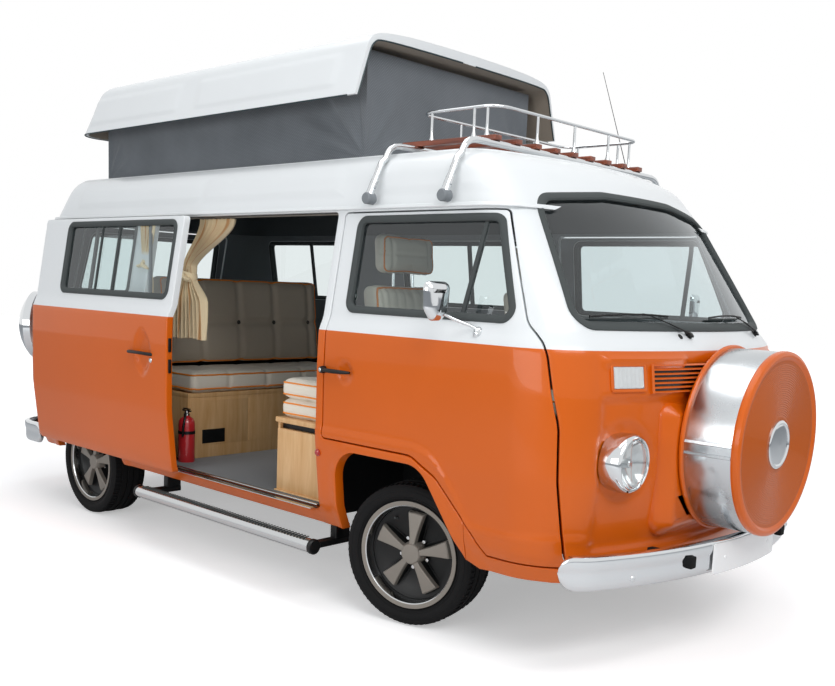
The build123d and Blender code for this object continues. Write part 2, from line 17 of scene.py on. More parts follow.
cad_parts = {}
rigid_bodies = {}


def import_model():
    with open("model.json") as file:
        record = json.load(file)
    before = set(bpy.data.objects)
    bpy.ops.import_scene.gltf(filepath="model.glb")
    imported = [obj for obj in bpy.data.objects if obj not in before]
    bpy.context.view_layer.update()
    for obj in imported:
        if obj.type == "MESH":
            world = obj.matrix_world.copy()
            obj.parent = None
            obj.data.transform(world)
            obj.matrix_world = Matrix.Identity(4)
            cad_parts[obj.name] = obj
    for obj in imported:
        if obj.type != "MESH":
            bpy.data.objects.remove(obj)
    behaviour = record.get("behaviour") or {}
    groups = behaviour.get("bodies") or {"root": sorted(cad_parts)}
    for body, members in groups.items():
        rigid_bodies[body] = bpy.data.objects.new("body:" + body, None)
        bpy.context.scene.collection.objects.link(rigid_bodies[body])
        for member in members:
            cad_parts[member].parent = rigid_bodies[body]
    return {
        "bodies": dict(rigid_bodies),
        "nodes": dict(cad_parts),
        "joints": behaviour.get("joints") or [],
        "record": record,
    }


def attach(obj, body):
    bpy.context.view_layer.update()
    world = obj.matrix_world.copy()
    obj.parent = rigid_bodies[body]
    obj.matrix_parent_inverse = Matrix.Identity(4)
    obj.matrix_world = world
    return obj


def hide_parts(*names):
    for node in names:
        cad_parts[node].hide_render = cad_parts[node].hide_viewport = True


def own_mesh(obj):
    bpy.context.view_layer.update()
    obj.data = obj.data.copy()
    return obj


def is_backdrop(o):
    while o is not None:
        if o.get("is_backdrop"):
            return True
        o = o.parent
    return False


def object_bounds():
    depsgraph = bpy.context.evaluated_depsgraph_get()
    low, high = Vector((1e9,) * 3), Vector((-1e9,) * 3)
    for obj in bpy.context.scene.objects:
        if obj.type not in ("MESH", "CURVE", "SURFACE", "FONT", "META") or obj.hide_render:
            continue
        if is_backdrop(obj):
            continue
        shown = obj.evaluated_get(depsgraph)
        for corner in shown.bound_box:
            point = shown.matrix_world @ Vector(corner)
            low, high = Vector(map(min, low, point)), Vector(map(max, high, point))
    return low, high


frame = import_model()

log = logging.getLogger("camper")
MM = 0.001
# X of the front axle in the shared frame, and the distance to the rear one.
SHIFT_X = 1114.0
WHEELBASE = 2400.0
# Points closer than this are one, in metres.
MERGE = 1e-5
# Shares of a quarter turn at which a folded edge has points.
EDGE_TURNS = (0.0, 0.3, 0.65, 1.0)
WINDOW_RADIUS = 45.0
Point2 = tuple[float, float]
Loop2 = list[Point2]
Placer = Callable[[float, float, float], Vector]


def row(x: float, y: float, z: float) -> Vector:
    """Turns millimetres from the front axle into metres in the shared frame."""
    return Vector(((x + SHIFT_X) * MM, y * MM, z * MM))


def smooth(t: float) -> float:
    """Eases a share from 0 to 1."""
    t = min(max(t, 0.0), 1.0)
    return t * t * (3 - 2 * t)


def ramp(value: float, low: float, high: float) -> float:
    """Eases from 0 at low to 1 at high."""
    return smooth((value - low) / (high - low))


def linear(code: str) -> tuple[float, float, float, float]:
    """Turns an sRGB hex colour into linear values."""
    parts = [int(code[i:i + 2], 16) / 255 for i in (1, 3, 5)]
    r, g, b = [c / 12.92 if c <= 0.04045 else ((c + 0.055) / 1.055) ** 2.4 for c in parts]
    return (r, g, b, 1.0)


def add_node(tree: bpy.types.NodeTree, kind: str, inputs: dict | None = None, **settings) -> bpy.types.Node:
    """Adds a node with its settings, input values and links.

    Args:
        tree: The node tree that gets the node.
        kind: The node's type name.
        inputs: Values or output sockets, by input name or number.
        **settings: Properties of the node.

    Returns:
        The new node.
    """
    node = tree.nodes.new(kind)
    for name, value in settings.items():
        setattr(node, name, value)
    for name, value in (inputs or {}).items():
        if isinstance(value, bpy.types.NodeSocket):
            tree.links.new(value, node.inputs[name])
        else:
            node.inputs[name].default_value = value
    return node


# Finishes


@dataclass(frozen=True)
class Finish:
    """A surface finish, the base of all others.

    Attributes:
        name: Name of the material.
        color: Its sRGB hex colour.
        roughness: Roughness of the shader.
        metallic: 1 for bare or plated metal.
        coat: Weight of a clear lacquer.
        sheen: Weight of the soft edge light of cloth.
        grain_mm: Size of the fine relief, none at 0.
        grain_depth: Strength of the fine relief.
        mottle: How uneven the colour is.
        mottle_mm: Size of the uneven patches.
        rough_spread: How uneven the roughness is.
        gloss: Specular level of what isn't metal.
    """

    name: str
    color: str
    roughness: float = 0.5
    metallic: float = 0.0
    coat: float = 0.0
    sheen: float = 0.0
    grain_mm: float = 0.0
    grain_depth: float = 0.1
    mottle: float = 0.0
    mottle_mm: float = 200.0
    rough_spread: float = 0.0
    gloss: float = 0.5

    def material(self) -> bpy.types.Material:
        """Builds the material once, and returns it."""
        found = bpy.data.materials.get(self.name)
        if found:
            return found
        made = bpy.data.materials.new(self.name)
        made.use_nodes = True
        tree = made.node_tree
        tree.nodes.clear()
        out = add_node(tree, "ShaderNodeOutputMaterial")
        where = add_node(tree, "ShaderNodeTexCoord").outputs["Object"]
        shader = self.shader(tree, where)
        tree.links.new(shader, out.inputs["Surface"])
        return made

    def tint(self, tree: bpy.types.NodeTree, where: bpy.types.NodeSocket) -> bpy.types.NodeSocket | None:
        """Colour with slow unevenness, or None where the colour is even."""
        if not self.mottle:
            return None
        patch = add_node(tree, "ShaderNodeTexNoise",
                         {"Vector": where, "Scale": 1000 / self.mottle_mm, "Detail": 4.0, "Roughness": 0.6})
        base = linear(self.color)
        dark = tuple(c * (1 - self.mottle) for c in base[:3]) + (1.0,)
        light = tuple(min(c * (1 + self.mottle), 1.0) for c in base[:3]) + (1.0,)
        mix = add_node(tree, "ShaderNodeMix", {0: patch.outputs["Fac"], 6: dark, 7: light}, data_type="RGBA")
        return mix.outputs[2]

    def bump(self, tree: bpy.types.NodeTree, where: bpy.types.NodeSocket) -> bpy.types.NodeSocket | None:
        """Fine relief of the surface, or None where it is smooth."""
        if not self.grain_mm:
            return None
        grit = add_node(tree, "ShaderNodeTexNoise", {"Vector": where, "Scale": 1000 / self.grain_mm,
                                                     "Detail": 2.0})
        return add_node(tree, "ShaderNodeBump", {"Height": grit.outputs["Fac"], "Strength": self.grain_depth,
                                                 "Distance": 0.001}).outputs[0]

    def shader(self, tree: bpy.types.NodeTree, where: bpy.types.NodeSocket) -> bpy.types.NodeSocket:
        """Builds the surface shader and returns its output."""
        inputs = {"Base Color": linear(self.color), "Roughness": self.roughness, "Metallic": self.metallic,
                  "Coat Weight": self.coat, "Coat Roughness": 0.04, "Sheen Weight": self.sheen}
        if not self.metallic:
            inputs["Specular IOR Level"] = self.gloss
        colour, relief = self.tint(tree, where), self.bump(tree, where)
        if colour:
            inputs["Base Color"] = colour
        if relief:
            inputs["Normal"] = relief
        if self.rough_spread:
            patch = add_node(tree, "ShaderNodeTexNoise", {"Vector": where, "Scale": 9.0, "Detail": 5.0})
            spread = add_node(tree, "ShaderNodeMapRange", {"Value": patch.outputs["Fac"], 1: 0.3, 2: 0.7,
                                                           3: self.roughness - self.rough_spread,
                                                           4: self.roughness + self.rough_spread})
            inputs["Roughness"] = spread.outputs[0]
        return add_node(tree, "ShaderNodeBsdfPrincipled", inputs).outputs[0]


@dataclass(frozen=True)
class TwoTonePaint(Finish):
    """Gloss enamel under lacquer, one colour below the waist line and one above, split at a height."""

    upper: str = "#E4E7E8"
    split_m: float = 1.150

    def tint(self, tree: bpy.types.NodeTree, where: bpy.types.NodeSocket) -> bpy.types.NodeSocket:
        """Picks the colour by height, with road dust and painted shade darkening it low down."""
        height = add_node(tree, "ShaderNodeSeparateXYZ", {0: where}).outputs["Z"]
        edge = add_node(tree, "ShaderNodeMapRange", {"Value": height, 1: self.split_m - 0.0008,
                                                     2: self.split_m + 0.0008})
        patch = add_node(tree, "ShaderNodeTexNoise", {"Vector": where, "Scale": 1.6, "Detail": 3.0})
        low = linear(self.color)
        shade = add_node(tree, "ShaderNodeMix", {0: patch.outputs["Fac"],
                                                 6: tuple(c * 0.93 for c in low[:3]) + (1.0,),
                                                 7: tuple(min(c * 1.05, 1) for c in low[:3]) + (1.0,)},
                         data_type="RGBA")
        both = add_node(tree, "ShaderNodeMix", {0: edge.outputs[0], 6: shade.outputs[2],
                                                7: linear(self.upper)}, data_type="RGBA")
        speck = add_node(tree, "ShaderNodeTexNoise", {"Vector": where, "Scale": 30.0, "Detail": 6.0,
                                                      "Roughness": 0.7})
        # Brownish darkening towards the bottom: partly road dust, partly painted shade low on the body.
        dust_and_low_shade = add_node(tree, "ShaderNodeMapRange", {"Value": height, 1: 0.52, 2: 0.33, 3: 0.0, 4: 0.30})
        amount = add_node(tree, "ShaderNodeMath", {0: dust_and_low_shade.outputs[0], 1: speck.outputs["Fac"]},
                          operation="MULTIPLY")
        return add_node(tree, "ShaderNodeMix", {0: amount.outputs[0], 6: both.outputs[2],
                                                7: linear("#7A5A40")}, data_type="RGBA").outputs[2]


@dataclass(frozen=True)
class Glazing(Finish):
    """Clear float glass with a faint tint, which reflects more at a slant."""

    tint_color: str = "#F4F8F8"
    haze: float = 0.0

    def shader(self, tree: bpy.types.NodeTree, where: bpy.types.NodeSocket) -> bpy.types.NodeSocket:
        """See-through tint with a mirror reflection on top."""
        clear = add_node(tree, "ShaderNodeBsdfTransparent", {"Color": linear(self.tint_color)})
        mirror = add_node(tree, "ShaderNodeBsdfGlossy", {"Color": linear(self.color),
                                                         "Roughness": self.roughness})
        slant = add_node(tree, "ShaderNodeFresnel", {"IOR": 1.5})
        total = add_node(tree, "ShaderNodeMath", {0: slant.outputs[0], 1: self.haze}, operation="ADD")
        inner = add_node(tree, "ShaderNodeNewGeometry").outputs["Backfacing"]
        outer = add_node(tree, "ShaderNodeMath", {0: 1.0, 1: inner}, operation="SUBTRACT")
        share = add_node(tree, "ShaderNodeMath", {0: total.outputs[0], 1: outer.outputs[0]},
                         operation="MULTIPLY")
        return add_node(tree, "ShaderNodeMixShader", {0: share.outputs[0], 1: clear.outputs[0],
                                                      2: mirror.outputs[0]}).outputs[0]


@dataclass(frozen=True)
class Weave(Finish):
    """Woven cloth, its threads drawn coarse enough to show."""

    thread_mm: float = 3.0
    dark: str = "#44484C"

    def tint(self, tree: bpy.types.NodeTree, where: bpy.types.NodeSocket) -> bpy.types.NodeSocket:
        """Threads of two shades with slow fading."""
        a = add_node(tree, "ShaderNodeTexWave", {"Vector": where, "Scale": 314 / self.thread_mm,
                                                 "Distortion": 0.6, "Detail": 1.0}, bands_direction="Z")
        b = add_node(tree, "ShaderNodeTexWave", {"Vector": where, "Scale": 314 / self.thread_mm,
                                                 "Distortion": 0.6, "Detail": 1.0},
                     bands_direction="DIAGONAL")
        both = add_node(tree, "ShaderNodeMath", {0: a.outputs["Fac"], 1: b.outputs["Fac"]},
                        operation="MULTIPLY")
        patch = add_node(tree, "ShaderNodeTexNoise", {"Vector": where, "Scale": 4.0, "Detail": 5.0})
        total = add_node(tree, "ShaderNodeMath", {0: both.outputs[0], 1: patch.outputs["Fac"]},
                         operation="ADD")
        share = add_node(tree, "ShaderNodeMapRange", {"Value": total.outputs[0], 1: 0.2, 2: 1.3})
        return add_node(tree, "ShaderNodeMix", {0: share.outputs[0], 6: linear(self.dark),
                                                7: linear(self.color)}, data_type="RGBA").outputs[2]


@dataclass(frozen=True)
class StripedCotton(Finish):
    """Cream cotton with orange-brown stripes along its UV map."""

    stripe: str = "#C98A4A"
    count: float = 11.0

    def tint(self, tree: bpy.types.NodeTree, where: bpy.types.NodeSocket) -> bpy.types.NodeSocket:
        """Thin stripes down the cloth."""
        cloth = add_node(tree, "ShaderNodeUVMap", uv_map="cloth")
        across = add_node(tree, "ShaderNodeSeparateXYZ", {0: cloth.outputs[0]}).outputs["X"]
        turn = add_node(tree, "ShaderNodeMath", {0: across, 1: self.count}, operation="MULTIPLY")
        part = add_node(tree, "ShaderNodeMath", {0: turn.outputs[0]}, operation="FRACT")
        away = add_node(tree, "ShaderNodeMath", {0: part.outputs[0], 1: 0.5}, operation="SUBTRACT")
        size = add_node(tree, "ShaderNodeMath", {0: away.outputs[0]}, operation="ABSOLUTE")
        line = add_node(tree, "ShaderNodeMapRange", {"Value": size.outputs[0], 1: 0.05, 2: 0.11, 3: 0.75,
                                                     4: 0.0})
        return add_node(tree, "ShaderNodeMix", {0: line.outputs[0], 6: linear(self.color),
                                                7: linear(self.stripe)}, data_type="RGBA").outputs[2]

    def bump(self, tree: bpy.types.NodeTree, where: bpy.types.NodeSocket) -> bpy.types.NodeSocket:
        """Plain weave, drawn coarse enough to show."""
        thread = add_node(tree, "ShaderNodeTexWave", {"Vector": where, "Scale": 80.0, "Distortion": 1.0},
                          bands_direction="Z")
        return add_node(tree, "ShaderNodeBump", {"Height": thread.outputs["Fac"], "Strength": 0.15,
                                                 "Distance": 0.001}).outputs[0]


@dataclass(frozen=True)
class WoodGrain(Finish):
    """Varnished timber, its grain along one axis."""

    dark: str = "#4A1C0C"
    along: tuple[float, float, float] = (3.0, 60.0, 60.0)

    def tint(self, tree: bpy.types.NodeTree, where: bpy.types.NodeSocket) -> bpy.types.NodeSocket:
        """Stretched rings and fine pores."""
        placed = add_node(tree, "ShaderNodeMapping", {"Vector": where, "Scale": self.along})
        rings = add_node(tree, "ShaderNodeTexNoise", {"Vector": placed.outputs[0], "Scale": 1.0,
                                                      "Detail": 5.0, "Distortion": 0.6, "Roughness": 0.6})
        share = add_node(tree, "ShaderNodeMapRange", {"Value": rings.outputs["Fac"], 1: 0.34, 2: 0.66})
        return add_node(tree, "ShaderNodeMix", {0: share.outputs[0], 6: linear(self.dark),
                                                7: linear(self.color)}, data_type="RGBA").outputs[2]


class Look(Enum):
    """The named finishes of the vehicle."""

    # Two-pack enamel sprayed and lacquered, so it shows sharp reflections over a solid colour.
    PAINT = TwoTonePaint("two_tone_enamel", "#D15E06", 0.34, coat=0.32, grain_mm=2.5, grain_depth=0.02,
                         gloss=0.25)
    # The same enamel on parts that are orange all over.
    ORANGE = Finish("orange_enamel", "#D15E06", 0.34, coat=0.32, grain_mm=2.5, grain_depth=0.02, mottle=0.03,
                    gloss=0.25)
    # Moulded gelcoat over glass fibre, a little duller than enamel.
    GELCOAT = Finish("white_gelcoat", "#E4E7E8", 0.36, coat=0.35, grain_mm=6.0, grain_depth=0.03,
                     mottle=0.015)
    # Nickel-chrome plating on pressed steel, with faint haze.
    CHROME = Finish("chrome_plate", "#D6D9DB", 0.07, 1.0, rough_spread=0.03)
    # Polished aluminium, whose buffing softens what it mirrors.
    POLISHED = Finish("polished_aluminium", "#C9CBCC", 0.16, 1.0, rough_spread=0.05)
    # Cast alloy sprayed satin grey, with a warm, dull sheen.
    SATIN = Finish("satin_grey_alloy", "#857F77", 0.45, 0.35, grain_mm=1.2, grain_depth=0.08, mottle=0.06)
    # Sheet aluminium brushed round the cover.
    BRUSHED = Finish("brushed_aluminium_band", "#C4C8CB", 0.24, 1.0, rough_spread=0.07)
    # Enamel on ribbed sheet, darker because its ribs shade each other.
    COVER_PAINT = Finish("cover_enamel", "#B4540C", 0.42, coat=0.2, gloss=0.25, grain_mm=2.5,
                         grain_depth=0.03, mottle=0.03)
    # Brushed nylon lining, which looks soft and dull.
    LINER = Finish("tan_lid_lining", "#93887B", 0.85, sheen=0.1, grain_mm=6.0, grain_depth=0.3, mottle=0.06)
    # Extruded PVC edge trim, dark blue-green with a low sheen.
    EDGE = Finish("dark_edge_trim", "#12292E", 0.5, grain_mm=3.0, grain_depth=0.1)
    # Leather-covered button, dark and matt.
    BUTTON = Finish("covered_button", "#3A332C", 0.6, sheen=0.1, mottle=0.1)
    # Moulded vinyl over foam, its pebble grain breaking the light.
    DASH = Finish("padded_dash_vinyl", "#6E7377", 0.7, grain_mm=3.0, grain_depth=0.35, mottle=0.05)
    # Silvered glass, an almost perfect mirror.
    MIRROR = Finish("mirror_glass", "#E8ECEE", 0.02, 1.0, rough_spread=0.005)
    # Rolled mild steel, grey with uneven shine.
    STEEL = Finish("bare_steel", "#8A8D90", 0.35, 1.0, rough_spread=0.08)
    # Extruded rubber, dull with a faint grain.
    RUBBER = Finish("seal_rubber", "#111315", 0.6, grain_mm=3.0, grain_depth=0.15, gloss=0.25)
    # Moulded tyre rubber, nearly black and dusty.
    TYRE = Finish("tyre_rubber", "#0F0F10", 0.8, grain_mm=4.0, grain_depth=0.4, mottle=0.12, mottle_mm=60,
                  gloss=0.22)
    # Injection-moulded ABS, black with a soft highlight.
    BLACK = Finish("black_moulding", "#0C0D0E", 0.42, grain_mm=1.5, grain_depth=0.1, gloss=0.3)
    # Injection-moulded polypropylene, even and dull.
    GREY = Finish("grey_moulding", "#777C80", 0.6, grain_mm=2.0, grain_depth=0.25, mottle=0.04)
    # Sprayed bitumen, lumpy and almost without shine.
    UNDERSEAL = Finish("underbody_coating", "#18191A", 0.85, gloss=0.15, grain_mm=8.0, grain_depth=0.6,
                       mottle=0.2)
    # Sand-cast iron with a rough, dark skin.
    IRON = Finish("cast_iron", "#3A3A3B", 0.7, 0.4, grain_mm=4.0, grain_depth=0.5, mottle=0.15)
    # Clear float glass with a faint reflection.
    GLASS = Glazing("float_glass", "#F2F6F8", 0.0, haze=0.02)
    # Laminated glass, a little darker than the side windows.
    SCREEN = Glazing("windscreen_glass", "#F2F6F8", 0.0, haze=0.03, tint_color="#EEF3F4")
    # Woven headlining, dark and without shine.
    HEADLINING = Finish("dark_headlining", "#55595C", 0.9, sheen=0.2, grain_mm=5.0, grain_depth=0.3,
                        mottle=0.06)
    # Painted hardboard panels, flat grey.
    TRIM = Finish("grey_trim_panel", "#7E8286", 0.8, grain_mm=4.0, grain_depth=0.2, mottle=0.05)
    # Looped nylon pile, deep and dark, with a soft edge light.
    CARPET = Finish("dark_carpet", "#34383C", 0.95, sheen=0.4, grain_mm=5.0, grain_depth=0.9, mottle=0.2,
                    mottle_mm=40)
    # Soft hide or vinyl with a pebbled grain.
    HIDE = Finish("cream_hide", "#E9E0D0", 0.5, sheen=0.15, grain_mm=3.5, grain_depth=0.25, mottle=0.04)
    # Vinyl piping, bright orange with a small highlight.
    PIPING = Finish("orange_piping", "#EE8A22", 0.5, grain_mm=2.0, grain_depth=0.1)
    # Woven polyester-cotton, its threads drawn coarse enough to show.
    TENT = Weave("grey_tent_cloth", "#7A7F84", 0.9, sheen=0.25, thread_mm=6.0, dark="#53585D")
    # Printed cotton, its stripes running down the cloth.
    CURTAIN = StripedCotton("striped_curtain", "#EBD6B0", 0.9, sheen=0.3)
    # The same vinyl in tan, for the bench back.
    TAN = Finish("tan_hide", "#BDB09E", 0.55, sheen=0.15, grain_mm=3.5, grain_depth=0.25, mottle=0.05)
    # Stained hardwood under varnish, red-brown with long grain.
    SLAT = WoodGrain("stained_hardwood", "#93431F", 0.4, coat=0.4, dark="#5B2410", grain_mm=4.0,
                     grain_depth=0.15)
    # Varnished birch plywood, pale with upright grain.
    PLY = WoodGrain("birch_plywood", "#E2B985", 0.45, coat=0.25, dark="#CF9E66", along=(30.0, 30.0, 3.0))
    # Stoved red enamel, glossy.
    RED = Finish("red_enamel", "#C4262C", 0.3, coat=0.6, mottle=0.05)
    # Pressed acrylic, white and smooth.
    PLATE = Finish("plate_white", "#EEF0F0", 0.4, coat=0.4, mottle=0.01)
    # Pressed glass, clear with a strong reflection.
    LENS = Glazing("ribbed_lens", "#FFFFFF", 0.03, haze=0.12, tint_color="#F2F4F4")
    # Moulded red acrylic, deep and glossy.
    RED_LENS = Finish("red_lens", "#A5161A", 0.15, coat=0.8, grain_mm=6.0, grain_depth=0.3)
    # Moulded amber acrylic, glossy.
    AMBER_LENS = Finish("amber_lens", "#E07A10", 0.15, coat=0.8, grain_mm=6.0, grain_depth=0.3)
    # Ribbed clear acrylic over a reflector, which looks grey.
    CLEAR_LENS = Finish("clear_indicator_lens", "#C9CCCC", 0.12, coat=0.9, grain_mm=6.0, grain_depth=0.4,
                        mottle=0.1, mottle_mm=30)

    @property
    def material(self) -> bpy.types.Material:
        """The Blender material of this finish."""
        return self.value.material()


# Mesh making


@dataclass
class Draft:
    """Vertices and faces of a piece, in metres in the shared frame, before they are one mesh."""

    points: list[Vector] = field(default_factory=list)
    faces: list[tuple[int, ...]] = field(default_factory=list)
    marks: list[int] = field(default_factory=list)

    def add(self, points: Iterable[Vector], faces: Iterable[Sequence[int]], mark: int = 0) -> None:
        """Adds faces over their own points, with a material number."""
        start = len(self.points)
        self.points.extend(points)
        for face in faces:
            self.faces.append(tuple(start + i for i in face))
            self.marks.append(mark)

    def rings(self, rings: Sequence[Sequence[Vector]], mark: int = 0, closed: bool = True, caps: bool = True,
              looped: bool = False) -> None:
        """Joins rings of equal count into a skin.

        Args:
            rings: Rings of points, in order.
            mark: Material number.
            closed: Whether each ring closes on itself.
            caps: Whether the first and last ring are filled.
            looped: Whether the last ring joins the first.
        """
        n = len(rings[0])
        points = [p for ring in rings for p in ring]
        faces = []
        count = len(rings)
        for r in range(count if looped else count - 1):
            a, b = r * n, ((r + 1) % count) * n
            for i in range(n if closed else n - 1):
                j = (i + 1) % n
                faces.append((a + i, a + j, b + j, b + i))
        if caps and not looped:
            faces.append(tuple(range(n))[::-1])
            faces.append(tuple((count - 1) * n + i for i in range(n)))
        self.add(points, faces, mark)

    def tube(self, path: Sequence[Vector], radius: float | Sequence[float], mark: int = 0, sides: int = 12,
             looped: bool = False, flat: float = 1.0) -> None:
        """Round bar along a path; flat squeezes its height."""
        n = len(path)
        radii = [radius] * n if isinstance(radius, (int, float)) else list(radius)
        made, up = [], Vector((0, 0, 1))
        for i, p in enumerate(path):
            back, ahead = path[(i - 1) % n], path[(i + 1) % n]
            if not looped:
                back, ahead = path[max(i - 1, 0)], path[min(i + 1, n - 1)]
            way = (ahead - back).normalized()
            side = way.cross(up)
            if side.length < 1e-3:
                side = way.cross(Vector((0, 1, 0)))
            side.normalize()
            top = side.cross(way).normalized()
            made.append([p + (side * math.cos(t) + top * math.sin(t) * flat) * radii[i]
                         for t in (2 * math.pi * k / sides for k in range(sides))])
        self.rings(made, mark, looped=looped)

    def turned(self, profile: Sequence[Point2], place: Callable[[float, float, float], Vector], mark: int = 0,
               steps: int = 64, closed: bool = False, ends: bool = True) -> None:
        """Turns a profile of (along, radius) about an axis.

        Args:
            profile: Points along the axis and out from it.
            place: Puts (along, across, up) in the shared frame.
            mark: Material number.
            steps: Steps round the axis.
            closed: Whether the profile is a closed loop, as for a ring.
            ends: Whether the first and last ring are filled.
        """
        made = []
        for along, r in profile:
            made.append([place(along, max(r, 1e-4) * math.cos(2 * math.pi * k / steps),
                               max(r, 1e-4) * math.sin(2 * math.pi * k / steps)) for k in range(steps)])
        self.rings(made, mark, caps=ends and not closed, looped=closed)

    def box(self, low: Vector, high: Vector, radius: float = 0.004, mark: int = 0, segments: int = 3,
            taper: Callable[[Vector], Vector] | None = None) -> None:
        """Block with rounded edges between two corners.

        Args:
            low: Corner with the smallest coordinates.
            high: Corner with the largest ones.
            radius: Radius of the edges, in metres.
            mark: Mark of the faces.
            segments: Steps round an edge.
            taper: Moves each point of the finished block.
        """
        made = bmesh.new()
        bmesh.ops.create_cube(made, size=1.0)
        size, middle = high - low, (high + low) / 2
        bmesh.ops.scale(made, vec=size, verts=made.verts)
        radius = min(radius, min(size) * 0.48)
        bmesh.ops.bevel(made, geom=made.edges[:], offset=radius, segments=segments, profile=0.5,
                        affect="EDGES", clamp_overlap=True)
        made.verts.ensure_lookup_table()
        spots = [v.co + middle for v in made.verts]
        if taper:
            spots = [taper(p) for p in spots]
        self.add(spots, [[v.index for v in f.verts] for f in made.faces], mark)
        made.free()

    def build(self, name: str, body: str, looks: Sequence[Look], replaces: Sequence[str] = (), slot: str = "",
              sharp: float = 32.0) -> bpy.types.Object:
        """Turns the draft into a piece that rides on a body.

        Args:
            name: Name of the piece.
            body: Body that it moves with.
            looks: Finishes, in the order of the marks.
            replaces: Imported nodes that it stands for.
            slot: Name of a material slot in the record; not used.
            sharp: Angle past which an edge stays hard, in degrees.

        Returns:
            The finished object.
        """
        piece = new_piece(name, self.points, self.faces)
        mesh = piece.data
        for look in looks:
            mesh.materials.append(look.material)
        mesh.polygons.foreach_set("material_index", [min(m, len(looks) - 1) for m in self.marks])
        made = bmesh.new()
        made.from_mesh(mesh)
        bmesh.ops.remove_doubles(made, verts=made.verts, dist=MERGE)
        bmesh.ops.dissolve_degenerate(made, edges=made.edges, dist=1e-6)
        bmesh.ops.recalc_face_normals(made, faces=made.faces)
        made.to_mesh(mesh)
        made.free()
        shade_smooth(mesh, sharp)
        settle(piece, body, replaces, slot)
        return piece


def new_piece(name: str, points: Sequence[Vector], faces: Sequence[Sequence[int]]) -> bpy.types.Object:
    """Links a new mesh object made of points and faces."""
    mesh = bpy.data.meshes.new(name)
    mesh.from_pydata([tuple(p) for p in points], [], faces)
    piece = bpy.data.objects.new(name, mesh)
    bpy.context.scene.collection.objects.link(piece)
    return piece


def shade_smooth(mesh: bpy.types.Mesh, sharp: float | None = None) -> None:
    """Shades a mesh smooth, with hard edges past an angle in degrees where it is given."""
    mesh.polygons.foreach_set("use_smooth", [True] * len(mesh.polygons))
    if sharp is not None:
        mesh.set_sharp_from_angle(angle=math.radians(sharp))


def settle(piece: bpy.types.Object, body: str, replaces: Sequence[str] = (), slot: str = "") -> None:
    """Puts a piece on its body and logs it."""
    if replaces:
        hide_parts(*replaces)
    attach(piece, body)
    log.info("%s: %d faces on %s", piece.name, len(piece.data.polygons), body)


# Body skin


@dataclass(frozen=True)
class Section:
    """Plan outline of the body at one height, in millimetres."""

    z: float
    nose: float
    tail: float
    half: float
    front_r: float
    rear_r: float

    def values(self) -> tuple[float, ...]:
        """All sizes in order."""
        return (self.z, self.nose, self.tail, self.half, self.front_r, self.rear_r)


class Side(Enum):
    """A side of the vehicle, by the sign of Y."""

    RIGHT = -1
    LEFT = 1

    @property
    def label(self) -> str:
        """The side's word, as in the names of the model."""
        return self.name.lower()


